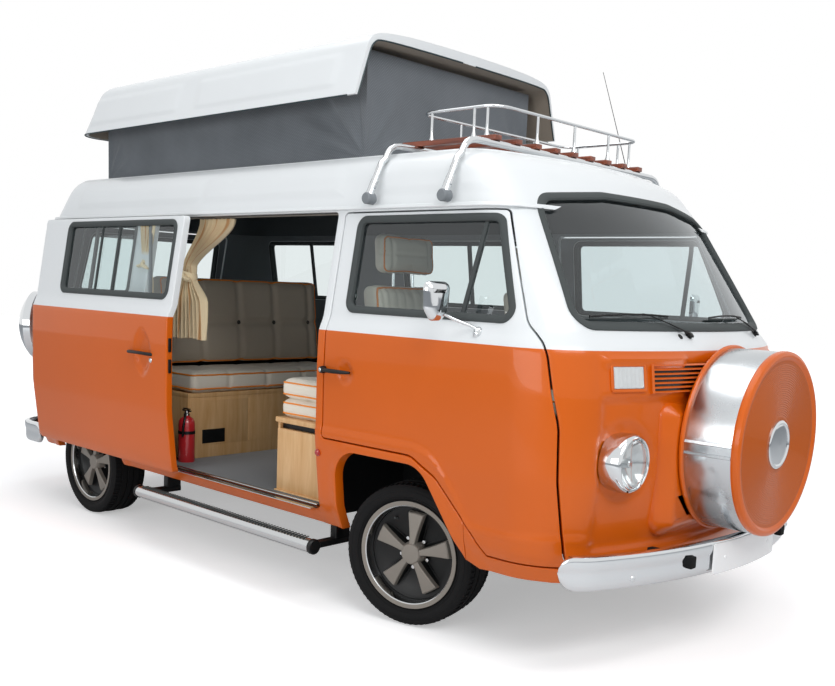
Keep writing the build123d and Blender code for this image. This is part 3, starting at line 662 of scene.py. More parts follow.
@dataclass
class BodySkin:
    """The body's outer surface, found by girth and height.

    Girth runs along the plan outline from the middle of the nose, through a front corner, along
    the side and round to the middle of the tail. A chart's first coordinate is X on the sides,
    and the distance from the middle on the front and the rear.
    """

    sections: tuple[Section, ...]
    front_sweep: float = 1900.0
    rear_sweep: float = 4000.0
    soften: float = 26.0
    known: dict[float, Section] = field(default_factory=dict)

    def section(self, z: float) -> Section:
        """Outline sizes at a height, with the kinks between sections softened."""
        key = round(z, 1)
        if key not in self.known:
            self.known[key] = self._soft_section(key)
        return self.known[key]

    def _soft_section(self, z: float) -> Section:
        """Weighted mean of the sizes a little below and above a height."""
        total = [0.0] * 6
        spots = [z + self.soften * k / 3 for k in (-2, -1, 0, 1, 2)]
        weights = (1, 2, 3, 2, 1)
        for spot, weight in zip(spots, weights):
            values = self._flat(spot)
            for i in range(6):
                total[i] += values[i] * weight / 9
        total[0] = z
        return Section(*total)

    def _flat(self, z: float) -> tuple[float, ...]:
        """Straight-line values between two sections, carried on past the ends."""
        rows = self.sections
        for low, high in zip(rows, rows[1:]):
            if z <= high.z or high is rows[-1]:
                t = (z - low.z) / (high.z - low.z)
                return tuple(a + (b - a) * t for a, b in zip(low.values(), high.values()))
        return rows[-1].values()

    def _angles(self, s: Section) -> tuple[float, float]:
        """Angles at which the front and rear corners meet the swept ends."""
        af = math.asin((s.half - s.front_r) / (self.front_sweep - s.front_r))
        ar = math.asin((s.half - s.rear_r) / (self.rear_sweep - s.rear_r))
        return af, ar

    def _marks(self, s: Section) -> tuple[float, float, float, float, float, float]:
        """Corner centres and lengths: front centre, front arc, front sweep, rear centre, arc and sweep."""
        af, ar = self._angles(s)
        cf = s.nose - self.front_sweep + (self.front_sweep - s.front_r) * math.cos(af)
        cr = s.tail + self.rear_sweep - (self.rear_sweep - s.rear_r) * math.cos(ar)
        return (cf, s.front_r * (math.pi / 2 - af), self.front_sweep * af,
                cr, s.rear_r * (math.pi / 2 - ar), self.rear_sweep * ar)

    def side_at(self, a: float, z: float, side: Side, depth: float = 0.0) -> Vector:
        """Point of the skin from its side coordinate.

        Args:
            a: X on the flat of the side, carried on round the corners by length.
            z: Height.
            side: Which side.
            depth: How far inside the skin.

        Returns:
            The point, in metres in the shared frame.
        """
        s = self.section(z)
        af, ar = self._angles(s)
        cf, front_arc, _, cr, rear_arc, _ = self._marks(s)
        if cr <= a <= cf:
            x, y, nx, ny = a, s.half, 0.0, 1.0
        elif a > cf:
            if a - cf <= front_arc:
                t = math.pi / 2 - (a - cf) / s.front_r
                x, y = cf + s.front_r * math.cos(t), s.half - s.front_r + s.front_r * math.sin(t)
            else:
                t = af - (a - cf - front_arc) / self.front_sweep
                x = s.nose - self.front_sweep + self.front_sweep * math.cos(t)
                y = self.front_sweep * math.sin(t)
            nx, ny = math.cos(t), math.sin(t)
        else:
            if cr - a <= rear_arc:
                t = math.pi / 2 - (cr - a) / s.rear_r
                x, y = cr - s.rear_r * math.cos(t), s.half - s.rear_r + s.rear_r * math.sin(t)
            else:
                t = ar - (cr - a - rear_arc) / self.rear_sweep
                x, y = s.tail + self.rear_sweep - self.rear_sweep * math.cos(t), self.rear_sweep * math.sin(t)
            nx, ny = -math.cos(t), math.sin(t)
        return row(x - nx * depth, side.value * (y - ny * depth), z)

    def side_from_x(self, x: float, z: float) -> float:
        """Side coordinate of an X at a height."""
        s = self.section(z)
        af, ar = self._angles(s)
        cf, front_arc, _, cr, rear_arc, _ = self._marks(s)
        if x > cf:
            if x <= cf + s.front_r * math.cos(af):
                return cf + s.front_r * (math.pi / 2 - math.acos(min((x - cf) / s.front_r, 1.0)))
            t = math.acos(min((x - s.nose + self.front_sweep) / self.front_sweep, 1.0))
            return cf + front_arc + (af - t) * self.front_sweep
        if x < cr:
            if x >= cr - s.rear_r * math.cos(ar):
                return cr - s.rear_r * (math.pi / 2 - math.acos(min((cr - x) / s.rear_r, 1.0)))
            t = math.acos(min((s.tail + self.rear_sweep - x) / self.rear_sweep, 1.0))
            return cr - rear_arc - (ar - t) * self.rear_sweep
        return x

    def front_length(self, z: float) -> float:
        """Side coordinate of the middle of the nose."""
        cf, arc, sweep, *_ = self._marks(self.section(z))
        return cf + arc + sweep

    def rear_length(self, z: float) -> float:
        """Side coordinate of the middle of the tail."""
        *_, cr, arc, sweep = self._marks(self.section(z))
        return cr - arc - sweep


@dataclass
class SideChart:
    """Maps flat (X, Z) outlines to one side of the skin."""

    skin: BodySkin
    side: Side
    shift: tuple[float, float] = (0.0, 0.0)

    def flatten(self, p: Point2) -> Point2:
        """Chart coordinates of an X and a height."""
        return (self.skin.side_from_x(p[0], p[1]), p[1])

    def place(self, q: Point2, depth: float) -> Vector:
        """Point at chart coordinates and depth, moved with an opened door."""
        spot = self.skin.side_at(q[0], q[1], self.side, depth)
        return spot + Vector((self.shift[0] * MM, self.shift[1] * MM * self.side.value, 0))


@dataclass
class EndChart:
    """Maps flat (Y, Z) outlines to the front or the rear of the skin."""

    skin: BodySkin
    front: bool = True

    def flatten(self, p: Point2) -> Point2:
        """Chart coordinates of a Y and a height, Y being kept as a length along the skin."""
        s = self.skin.section(p[1])
        angles = self.skin._angles(s)
        angle, sweep = (angles[0], self.skin.front_sweep) if self.front else (angles[1], self.skin.rear_sweep)
        radius = s.front_r if self.front else s.rear_r
        y, sign = abs(p[0]), 1.0 if p[0] >= 0 else -1.0
        if y <= sweep * math.sin(angle):
            return (sign * sweep * math.asin(y / sweep), p[1])
        t = math.asin(min((y - s.half + radius) / radius, 1.0))
        return (sign * (sweep * angle + radius * (t - angle)), p[1])

    def from_side(self, x: float, z: float, side: Side) -> Point2:
        """Chart coordinates of a point given by its X on a side."""
        a = self.skin.side_from_x(x, z)
        far = self.skin.front_length(z) - a if self.front else a - self.skin.rear_length(z)
        return (side.value * far, z)

    def place(self, q: Point2, depth: float) -> Vector:
        """Point at chart coordinates and depth."""
        side = Side.LEFT if q[0] >= 0 else Side.RIGHT
        if self.front:
            return self.skin.side_at(self.skin.front_length(q[1]) - abs(q[0]), q[1], side, depth)
        return self.skin.side_at(self.skin.rear_length(q[1]) + abs(q[0]), q[1], side, depth)


Chart = SideChart | EndChart


def on_chart(chart: Chart, a: float, z: float, lift: float = 0.0) -> Placer:
    """Places a small turned part on the skin, by its distance out, across and up."""
    return lambda out, across, up: chart.place((a + across, z + up), -out - lift)


def about(y: float, z: float) -> Placer:
    """Places a turned part about an axis that runs along X, its first coordinate being X."""
    return lambda along, across, up: row(along, y + across, z + up)


def dense(points: Sequence[Point2], step: float = 22.0, closed: bool = True) -> Loop2:
    """Outline with points no further apart than step."""
    made = []
    count = len(points) if closed else len(points) - 1
    for i in range(count):
        a, b = points[i], points[(i + 1) % len(points)]
        parts = max(1, math.ceil(math.dist(a, b) / step))
        made += [(a[0] + (b[0] - a[0]) * k / parts, a[1] + (b[1] - a[1]) * k / parts) for k in range(parts)]
    if not closed:
        made.append(points[-1])
    return made


def rounded(points: Sequence[Point2], radius: float | Sequence[float], steps: int = 8) -> Loop2:
    """Outline with its corners rounded by arcs.

    Args:
        points: Corners in order.
        radius: One radius, or one for each corner.
        steps: Points along each arc.

    Returns:
        The rounded outline.
    """
    n = len(points)
    radii = [radius] * n if isinstance(radius, (int, float)) else list(radius)
    made: Loop2 = []
    for i in range(n):
        here, back, ahead = Vector(points[i]), Vector(points[i - 1]), Vector(points[(i + 1) % n])
        u, v = (back - here), (ahead - here)
        angle = u.angle(v)
        reach = min(radii[i] / math.tan(angle / 2), u.length * 0.48, v.length * 0.48)
        if reach < 0.5 or angle > math.pi - 0.02:
            made.append(tuple(here))
            continue
        r = reach * math.tan(angle / 2)
        start, end = here + u.normalized() * reach, here + v.normalized() * reach
        centre = here + (u.normalized() + v.normalized()).normalized() * (r / math.sin(angle / 2))
        a0 = math.atan2(start.y - centre.y, start.x - centre.x)
        a1 = math.atan2(end.y - centre.y, end.x - centre.x)
        turn = (a1 - a0 + math.pi) % (2 * math.pi) - math.pi
        made += [(centre.x + r * math.cos(a0 + turn * k / steps),
                  centre.y + r * math.sin(a0 + turn * k / steps)) for k in range(steps + 1)]
    return made


def inset(points: Loop2, amount: float | Sequence[float]) -> Loop2:
    """Closed outline moved inwards along its corner bisectors; a negative amount grows it."""
    area = sum(a[0] * b[1] - b[0] * a[1] for a, b in zip(points, points[1:] + points[:1]))
    sign = 1.0 if area > 0 else -1.0
    n = len(points)
    amounts = [amount] * n if isinstance(amount, (int, float)) else list(amount)
    made = []
    for i in range(n):
        a, b, c = Vector(points[i - 1]), Vector(points[i]), Vector(points[(i + 1) % n])
        u, v = (b - a).normalized(), (c - b).normalized()
        nu, nv = Vector((-u.y, u.x)) * sign, Vector((-v.y, v.x)) * sign
        way = nu + nv
        if way.length < 1e-6:
            way = nu
        way.normalize()
        made.append(tuple(b + way * (amounts[i] / max(way.dot(nu), 0.35))))
    return made


def within(spots: np.ndarray, loops: list[Loop2]) -> np.ndarray:
    """Which points lie within the first loop and outside the others."""
    keep = np.ones(len(spots), dtype=bool)
    for number, loop in enumerate(loops):
        hit = np.zeros(len(spots), dtype=bool)
        for (x0, z0), (x1, z1) in zip(loop, loop[1:] + loop[:1]):
            if z0 == z1:
                continue
            hit ^= ((z0 > spots[:, 1]) != (z1 > spots[:, 1])) & (
                spots[:, 0] < (x1 - x0) * (spots[:, 1] - z0) / (z1 - z0) + x0)
        keep &= hit if number == 0 else ~hit
    return keep


def grid_inside(loops: list[Loop2], spacing: float) -> list[Point2]:
    """Grid points within the first loop, outside the others, and not close to any edge."""
    rim = np.array([p for loop in loops for p in loop])
    low, high = rim.min(axis=0), rim.max(axis=0)
    xs, zs = (np.arange(math.ceil(low[i] / spacing), math.floor(high[i] / spacing) + 1) * spacing
              for i in (0, 1))
    spots = np.array([(x, z) for x in xs for z in zs])
    if not len(spots):
        return []
    keep = within(spots, loops)
    for p in rim:
        keep &= ((spots - p) ** 2).sum(axis=1) > (spacing * 0.45) ** 2
    return [tuple(p) for p in spots[keep]]


@dataclass
class Panel:
    """A sheet cut from the skin: rounded edges, full wall thickness, and pressed relief.

    Attributes:
        chart: Maps the flat outline to the skin.
        outline: Outer edge, in flat coordinates.
        holes: Inner edges.
        wall: Thickness.
        edge: Radius of the folded edges.
        relief: Outward height of the pressing at a chart place, or None.
        grid: Spacing of the mesh.
        offset: Depth of the outer face below the skin.
    """

    chart: Chart
    outline: Loop2
    holes: list[Loop2] = field(default_factory=list)
    wall: float = 32.0
    edge: float = 4.0
    relief: Callable[[Point2], float] | None = None
    grid: float = 26.0
    offset: float = 0.0
    butt: Callable[[Point2], bool] | None = None

    def into(self, draft: Draft, front_mark: int = 0, back_mark: int = 0) -> None:
        """Adds the panel to a draft, with marks for its outer and inner faces."""
        raw = [self.outline, *self.holes]
        flat = [[self.chart.flatten(p) for p in loop] for loop in raw]
        edges = [[0.0 if self.butt and self.butt(p) else self.edge for p in loop] for loop in raw]
        # A hole's edge is folded the other way.
        ways = [1.0] + [-1.0] * len(self.holes)
        tops = [inset(loop, [way * r for r in radii]) for loop, radii, way in zip(flat, edges, ways)]
        points, faces = self._fill(tops)
        inner = self.offset + self.wall
        draft.add([self.chart.place(p, self.offset - self.height(p)) for p in points], faces, front_mark)
        draft.add([self.chart.place(p, inner) for p in points], [f[::-1] for f in faces], back_mark)
        for loop, radii, way, top in zip(flat, edges, ways, tops):
            rims = []
            for turn in EDGE_TURNS:
                angle = turn * math.pi / 2
                moved = inset(loop, [way * r * (1 - math.sin(angle)) for r in radii])
                rims.append([self.chart.place(p, self.offset - self.height(t) + r * (1 - math.cos(angle)))
                             for p, r, t in zip(moved, radii, top)])
            rims += [[self.chart.place(p, inner) for p in ring] for ring in (loop, top)]
            draft.rings(rims, front_mark, caps=False)

    def height(self, p: Point2) -> float:
        """Outward height of the pressing at a chart place."""
        return self.relief(p) if self.relief else 0.0

    def _fill(self, loops: list[Loop2]) -> tuple[list[Point2], list[tuple[int, ...]]]:
        """Triangulates the area between the outer loop and the holes, over a grid."""
        points = [p for loop in loops for p in loop]
        edges, start = [], 0
        for loop in loops:
            n = len(loop)
            edges += [(start + i, start + (i + 1) % n) for i in range(n)]
            start += n
        points += grid_inside(loops, self.grid)
        verts, _, tris, *_ = delaunay_2d_cdt([Vector(p) for p in points], edges, [], 0, 1e-4)
        flat = np.array([(v.x, v.y) for v in verts])
        keep = within(flat[np.array(tris)].mean(axis=1), loops)
        return [(v.x, v.y) for v in verts], [tuple(t) for t, good in zip(tris, keep) if good]


@dataclass
class Bead:
    """A strip that follows an outline on the skin, such as a window rubber.

    Attributes:
        chart: Maps the flat outline to the skin.
        outline: Closed outline, in flat coordinates.
        profile: Closed section of (inwards from the outline, depth below the skin).
    """

    chart: Chart
    outline: Loop2
    profile: Loop2

    def into(self, draft: Draft, mark: int = 0) -> None:
        """Adds the strip to a draft."""
        flat = [self.chart.flatten(p) for p in self.outline]
        made = []
        for across, depth in self.profile:
            made.append([self.chart.place(q, depth) for q in inset(flat, across)])
        draft.rings(made, mark, caps=False, looped=True)


# Body shape, repeated from the model

SECTIONS = (
    Section(330, 880, -3150, 790, 250, 240), Section(430, 925, -3185, 830, 260, 260),
    Section(700, 950, -3205, 860, 260, 260), Section(1000, 945, -3205, 862, 260, 260),
    Section(1150, 925, -3190, 858, 260, 260), Section(1200, 880, -3165, 834, 250, 250),
    Section(1640, 580, -3020, 762, 170, 210), Section(1790, 450, -2925, 724, 170, 200),
    Section(1835, 380, -2885, 700, 160, 190), Section(1860, 300, -2850, 650, 120, 150),
)
SKIN = BodySkin(SECTIONS)
NOSE = EndChart(SKIN, True)
TAIL = EndChart(SKIN, False)
# Where the nose and the tail join the sides, and the heights of the gutter, the sill and the arch centres.
SPLIT_X = 380.0
REAR_SPLIT = -2860.0
GUTTER_Z = 1640.0
SILL_Z = 330.0
ARCH_Z = 300.0
REAR_ARCH = 360.0
DOOR_EDGE = [(477, 388), (762, 388), (745, 890), (690, 1154), (600, 1232), (430, 1626), (-385, 1626),
             (-385, 705), (125, 705), (247, 640), (365, 514)]
DOOR_RADII = [10, 22, 300, 110, 110, 26, 22, 22, 110, 120, 120]
SCREEN_EDGE = [(-712, 1222), (712, 1222), (628, 1640), (575, 1690), (250, 1722), (-250, 1722), (-575, 1690),
               (-628, 1640)]
SCREEN_RADII = [60, 60, 120, 110, 300, 300, 110, 120]
SLIDE_EDGE = [(-1795, 395), (-425, 395), (-425, 1628), (-1795, 1628)]
CAB_WINDOW = [(-295, 1230), (560, 1230), (418, 1604), (-295, 1604)]
REAR_WINDOW = [(-2800, 1232), (-1950, 1232), (-1950, 1604), (-2800, 1604)]
MIDDLE_WINDOW = [(-1525, 1232), (-480, 1232), (-480, 1604), (-1525, 1604)]
TAILGATE = [(-560, 925), (560, 925), (520, 1626), (-520, 1626)]
TAIL_WINDOW = [(-500, 1215), (500, 1215), (468, 1585), (-468, 1585)]
ENGINE_LID = [(-450, 505), (450, 505), (450, 885), (-450, 885)]
FIXED_WINDOWS = ((Side.LEFT, MIDDLE_WINDOW), (Side.LEFT, REAR_WINDOW), (Side.RIGHT, REAR_WINDOW))


def arc(cx: float, cz: float, r: float, start: float, end: float, steps: int = 36) -> Loop2:
    """Points along an arc, its angles in degrees."""
    return [(cx + r * math.cos(math.radians(start + (end - start) * k / steps)),
             cz + r * math.sin(math.radians(start + (end - start) * k / steps))) for k in range(steps + 1)]


def bottom_arch(cx: float, r: float) -> Loop2:
    """Wheel arch cut into the sill line."""
    low = math.degrees(math.asin((SILL_Z - ARCH_Z) / r))
    return arc(cx, ARCH_Z, r, 180 - low, low, 48)


def along(line: Sequence[Point2], x: float) -> float:
    """Height of a broken line at x."""
    for (x0, z0), (x1, z1) in zip(line, line[1:]):
        if x <= x1:
            return z0 + (z1 - z0) * max(0.0, (x - x0) / (x1 - x0))
    return line[-1][1]


SWAGE = [(-3000, 738), (136, 749), (212, 732), (267, 693), (323, 624), (400, 500), (480, 491), (800, 503)]
FRONT_ARCH = rounded([(-301, 330), (-301, 672), (174, 676), (379, 354)], [0, 125, 120, 0])
ARCH_A = np.array(FRONT_ARCH)
ARCH_B = np.array(FRONT_ARCH[1:] + [(438, 326)])


def from_arch(x: float, z: float) -> float:
    """Distance from the front wheel arch's edge."""
    run = ARCH_B - ARCH_A
    share = ((np.array((x, z)) - ARCH_A) * run).sum(axis=1) / np.maximum((run * run).sum(axis=1), 1e-6)
    near = ARCH_A + run * np.clip(share, 0, 1)[:, None]
    return float(np.sqrt(((near - (x, z)) ** 2).sum(axis=1).min()))


def side_relief(q: Point2) -> float:
    """Pressing of the sides: the swage line, the metal below it standing prouder, and the arch flares."""
    x, z = q
    high = 0.0
    if -440 < x < 1000:
        step = z - along(SWAGE, x)
        fade = ramp(x, -440, -400) * (1 - ramp(x, 800, 960))
        high += (5.0 * (1 - ramp(step, -10, 10)) + 3.0 * (1 - ramp(abs(step + 14), 0, 16))) * fade
    if -400 < x < 470 and z < 760:
        high += 9.0 * (1 - ramp(from_arch(x, z), 6, 38))
    high += 8.0 * (1 - ramp(math.hypot(x + WHEELBASE, z - ARCH_Z), 392, 430))
    return high


def front_relief(q: Point2) -> float:
    """Pressing of the nose: a shallow recess under the belt, lamp bowls, grille frame and valance crease."""
    b, z = q
    far = abs(b)
    sunk = -14.0 * (1 - ramp(far, 652, 700)) * ramp(z, 420, 462) * (1 - ramp(z, 1082, 1122))
    bowl = math.hypot(far - 560, z - 764)
    sunk -= 12.0 * (1 - ramp(bowl, 112, 152))
    sunk += 6.0 * ramp(bowl, 104, 112) * (1 - ramp(bowl, 112, 122))
    frame = ramp(far, 250, 290) * (1 - ramp(far, 664, 690)) * ramp(z, 980, 996) * (1 - ramp(z, 1122, 1138))
    sunk += 15.0 * frame
    sunk += 6.0 * (1 - ramp(z, 446, 460)) * (1 - ramp(far, 760, 800))
    if far > 600:
        sunk += side_relief((SKIN.front_length(z) - far, z))
    return sunk


@dataclass
class Body:
    """Pressed-steel body: nose, sides, tail and the moulded fixed roof."""

    shut_edge: float = 3.5

    def butt_at(self, p: Point2) -> bool:
        """Whether a flat point lies on the welded joint at the gutter, which isn't folded."""
        return p[1] > GUTTER_Z - 2

    def nose(self) -> bpy.types.Object:
        """Front panel, from one cab door round to the other, below the gutter."""
        chart = NOSE
        hinge_side = [(438, 330), (SPLIT_X, 353), (SPLIT_X, 497.8), *DOOR_EDGE[0:6], (SPLIT_X, 1626),
                      (SPLIT_X, 1640)]
        radii = [0, 0, 0, 10, 22, 300, 110, 110, 26, 0, 0]
        edge = rounded(hinge_side + [(-900, 1640), (-900, 330)], radii + [0, 0])[:-2]
        edge = dense(edge, 18, closed=False)
        right = [chart.from_side(x, z, Side.RIGHT) for x, z in edge]
        left = [(-b, z) for b, z in right[::-1]]
        # The flattened windscreen notch joins the two sides at the gutter.
        notch = rounded(SCREEN_EDGE, SCREEN_RADII)
        notch = [p for p in dense(notch, 14) if p[1] < GUTTER_Z - 1]
        start = min(range(len(notch)), key=lambda i: -notch[i][1] if notch[i][0] < 0 else 0)
        notch = notch[start:] + notch[:start]
        if notch[1][1] > notch[0][1]:
            notch = [notch[0]] + notch[:0:-1]
        notch = [chart.flatten(p) for p in notch]
        lip = [(notch[0][0], GUTTER_Z)]
        out = [(notch[-1][0], GUTTER_Z)]
        top_right = self.level(right[-1], lip[0])
        top_left = self.level(out[0], left[0])
        low = self.level(left[-1], right[0])
        loop = right + top_right + lip + notch + out + top_left + left + low
        panel = FlatPanel(chart, loop, edge=self.shut_edge, relief=front_relief, grid=15, butt=self.butt_at)
        draft = Draft()
        panel.into(draft, 0, 1)
        return draft.build("nose_panel", "van", [Look.PAINT, Look.TRIM], ["front_panel"], "body_paint",
                           sharp=40)

    def level(self, a: Point2, b: Point2, step: float = 20) -> Loop2:
        """Points between two chart places, both ends left out."""
        parts = max(1, math.ceil(math.dist(a, b) / step))
        return [(a[0] + (b[0] - a[0]) * k / parts, a[1] + (b[1] - a[1]) * k / parts) for k in range(1, parts)]

    def flank(self, side: Side) -> bpy.types.Object:
        """Side panel between the nose and the tail, with its door openings, windows and wheel arches."""
        corners = [(SPLIT_X, 353), (SPLIT_X, 497.8), (365, 514), (247, 640), (125, 705), (-385, 705),
                   (-385, 1626), (SPLIT_X, 1626), (SPLIT_X, 1640), (REAR_SPLIT, 1640), (REAR_SPLIT, 330)]
        radii = [0, 0, 20, 120, 110, 22, 22, 0, 0, 0, 0]
        loop = rounded(corners, radii)
        loop += bottom_arch(-WHEELBASE, REAR_ARCH) + FRONT_ARCH
        first = rounded(SLIDE_EDGE, 22) if side is Side.RIGHT else rounded(MIDDLE_WINDOW, WINDOW_RADIUS)
        holes = [dense(hole, 20) for hole in (first, rounded(REAR_WINDOW, WINDOW_RADIUS))]
        chart = SideChart(SKIN, side)
        panel = Panel(chart, dense(loop, 20), holes, edge=self.shut_edge, relief=side_relief, grid=24,
                      butt=self.seam)
        draft = Draft()
        panel.into(draft, 0, 1)
        return draft.build(f"{side.label}_flank", "van", [Look.PAINT, Look.TRIM],
                           [f"{side.label}_side_panel"], "body_paint", sharp=40)

    def seam(self, p: Point2) -> bool:
        """Whether a flank point lies on a joint with the nose, the tail or the roof."""
        return p[1] > GUTTER_Z - 2 or p[0] < REAR_SPLIT + 2 or p[0] > SPLIT_X - 2

    def tail(self) -> bpy.types.Object:
        """Rear panel with the tailgate and engine openings."""
        chart = TAIL
        right = [chart.from_side(REAR_SPLIT, z, Side.RIGHT)
                 for _, z in dense([(0, 330), (0, 1640)], 20, closed=False)]
        left = [(-b, z) for b, z in right[::-1]]
        loop = right + self.level(right[-1], left[0]) + left + self.level(left[-1], right[0])
        holes = [[chart.flatten(p) for p in dense(rounded(TAILGATE, 40), 20)],
                 [chart.flatten(p) for p in dense(rounded(ENGINE_LID, 40), 20)]]
        lowest = min(abs(b) for b, _ in right)
        panel = FlatPanel(chart, loop, holes, edge=self.shut_edge, grid=24,
                          butt=lambda p: p[1] > GUTTER_Z - 2 or abs(p[0]) > lowest - 40)
        draft = Draft()
        panel.into(draft, 0, 1)
        return draft.build("tail_panel", "van", [Look.PAINT, Look.TRIM], ["rear_frame"], "body_paint",
                           sharp=40)

    def roof_relief(self, q: Point2) -> float:
        """Long raised panels moulded into the sides of the fixed roof."""
        x, z = q
        high = 0.0
        for low, far in ((-2600, -1440), (-1400, -430), (-250, 330)):
            spread = ramp(x, low, low + 16) * (1 - ramp(x, far - 16, far))
            high = max(high, spread * ramp(z, 1698, 1712) * (1 - ramp(z, 1786, 1806)))
        return 5.0 * high

    def roof(self) -> bpy.types.Object:
        """Fixed moulded roof with its opening, and the drip rail."""
        draft = Draft()
        top = 1853.0
        for front in (True, False):
            chart = NOSE if front else TAIL
            cut = -1200.0
            rise = dense([(0, GUTTER_Z), (0, top)], 18, closed=False)
            right = [chart.from_side(cut, z, Side.RIGHT) for _, z in rise]
            left = [(-b, z) for b, z in right[::-1]]
            over = self.level(right[-1], left[0])
            if front:
                notch = [p for p in dense(rounded(SCREEN_EDGE, SCREEN_RADII), 14) if p[1] > GUTTER_Z - 0.5]
                notch.sort(key=lambda p: -p[0])
                notch = [chart.flatten(p) for p in notch]
                ends = [(notch[0][0], GUTTER_Z), (notch[-1][0], GUTTER_Z)]
                low = self.level(left[-1], ends[0]) + [ends[0]] + notch + [ends[1]]
                low += self.level(ends[1], right[0])
            else:
                low = self.level(left[-1], right[0])
            loop = right + over + left + low

            def relief(q: Point2, front: bool = front) -> float:
                """Side relief, found from the chart coordinate."""
                far = abs(q[0])
                x = SKIN.front_length(q[1]) - far if front else SKIN.rear_length(q[1]) + far
                return self.roof_relief((x, q[1]))
            panel = FlatPanel(chart, loop, edge=0.0, relief=relief, grid=16, wall=26)
            panel.into(draft, 0, 2)
        self.deck(draft, top)
        self.drip(draft)
        return draft.build("fixed_roof", "van", [Look.GELCOAT, Look.RUBBER, Look.HEADLINING], ["roof"],
                           "white_shell", sharp=42)

    def deck(self, draft: Draft, top: float) -> None:
        """Flat top with a rounded edge and a lipped opening under the lid."""
        count = 220
        rings = []
        for depth, z in ((0.0, top), (4, top + 4.5), (12, top + 7), (30, top + 8), (30, top - 10),
                         (2, top - 24)):
            rings.append([self.girth(k / count, top, depth, z) for k in range(count)])
        draft.rings(rings[:4], caps=False)
        hole = dense(rounded([(-2560, -500), (-620, -500), (-620, 500), (-2560, 500)], 60), 25)
        outer = [(p.x / MM - SHIFT_X, p.y / MM) for p in rings[3]]
        verts, faces = FlatPanel(None, outer, [hole], grid=60)._fill([outer, hole])
        draft.add([row(x, y, top + 8) for x, y in verts], faces)
        draft.add([row(x, y, top - 12) for x, y in verts], [f[::-1] for f in faces], 2)
        draft.rings([[row(x, y, top + 8) for x, y in hole], [row(x, y, top - 12) for x, y in hole]],
                    caps=False)
        draft.rings([rings[3], [row(x, y, top - 12) for x, y in outer]], caps=False)

    def girth(self, share: float, z: float, depth: float, height: float) -> Vector:
        """Point of the plan outline at a share of the whole girth, put at another height."""
        s = SKIN
        front, rear = s.front_length(z), s.rear_length(z)
        total = 2 * (front - rear)
        run = share * total
        side, a = (Side.RIGHT, front - run) if run <= total / 2 else (Side.LEFT, rear + run - total / 2)
        spot = s.side_at(a, z, side, depth)
        spot.z = height * MM
        return spot

    def drip(self, draft: Draft) -> None:
        """Drip rail that stands out along the gutter and turns up at its edge."""
        profile = [(-1, 1634), (-16, 1633), (-20, 1636), (-20, 1646), (-17, 1648), (-14, 1646), (-14, 1640),
                   (-1, 1642)]
        for side in Side:
            rings = []
            for x in [*range(-2890, 430, 40), 440, 470, 500]:
                keep = min(1.0, (512 - x) / 60, (x + 2902) / 30)
                rings.append([SKIN.side_at(SKIN.side_from_x(x, h), h, side, d * keep) for d, h in profile])
            draft.rings(rings)

    def build(self) -> None:
        """Makes all fixed body pieces."""
        self.nose()
        for side in Side:
            self.flank(side)
        self.tail()
        self.roof()


@dataclass
class FlatPanel(Panel):
    """A panel whose outlines are already chart coordinates."""

    def into(self, draft: Draft, front_mark: int = 0, back_mark: int = 0) -> None:
        """Adds the panel, with its outlines taken as they are."""
        keep = self.chart
        self.chart = _AsIs(keep)
        super().into(draft, front_mark, back_mark)
        self.chart = keep


@dataclass
class _AsIs:
    """Chart that leaves flat coordinates alone."""

    chart: Chart

    def flatten(self, p: Point2) -> Point2:
        """The same point."""
        return p

    def place(self, q: Point2, depth: float) -> Vector:
        """Point of the wrapped chart."""
        return self.chart.place(q, depth)


def seal_profile(wide: float = 24.0, proud: float = 7.0, wall: float = 32.0) -> Loop2:
    """Section of a window rubber: (inwards, depth), with a lip over the panel and a groove for the glass."""
    return [(-5, 0.2), (-5, -2.5), (-2, -0.7 * proud), (0.3 * wide, -proud), (0.62 * wide, -0.8 * proud),
            (0.9 * wide, -0.1 * proud), (wide, 6), (wide, 12), (wide - 6, 16), (wide - 6, 24),
            (0.4 * wide, wall + 1), (0.5, wall + 1), (0.5, 8)]


@dataclass
class Opening:
    """A glazed opening: its rubber, its pane, and the bars between its lights."""

    chart: Chart
    edge: Loop2
    radius: float | Sequence[float] = WINDOW_RADIUS
    wide: float = 24.0
    proud: float = 7.0

    def outline(self) -> Loop2:
        """Rounded outline of the opening."""
        return dense(rounded(self.edge, self.radius), 16)

    def rubber(self, draft: Draft, mark: int = 0) -> None:
        """Adds the rubber."""
        Bead(self.chart, self.outline(), seal_profile(self.wide, self.proud)).into(draft, mark)

    def pane(self, draft: Draft, mark: int = 0) -> None:
        """Adds the pane, held in the rubber's groove."""
        flat = [self.chart.flatten(p) for p in self.outline()]
        FlatPanel(self.chart, inset(flat, self.wide - 5), wall=4, edge=0.6, offset=12,
                  grid=40).into(draft, mark, mark)

    def bar(self, draft: Draft, low: Point2, high: Point2, wide: float, mark: int = 0,
            deep: float = 22) -> None:
        """Adds an upright between two lights."""
        rings = []
        for k in range(9):
            x, z = low[0] + (high[0] - low[0]) * k / 8, low[1] + (high[1] - low[1]) * k / 8
            q = self.chart.flatten((x, z))
            rings.append([self.chart.place((q[0] + dx, q[1]), d)
                          for dx, d in ((-wide / 2, 8), (-wide / 2 + 2, 6), (wide / 2 - 2, 6), (wide / 2, 8),
                                (wide / 2, deep), (-wide / 2, deep))])
        draft.rings(rings, mark)


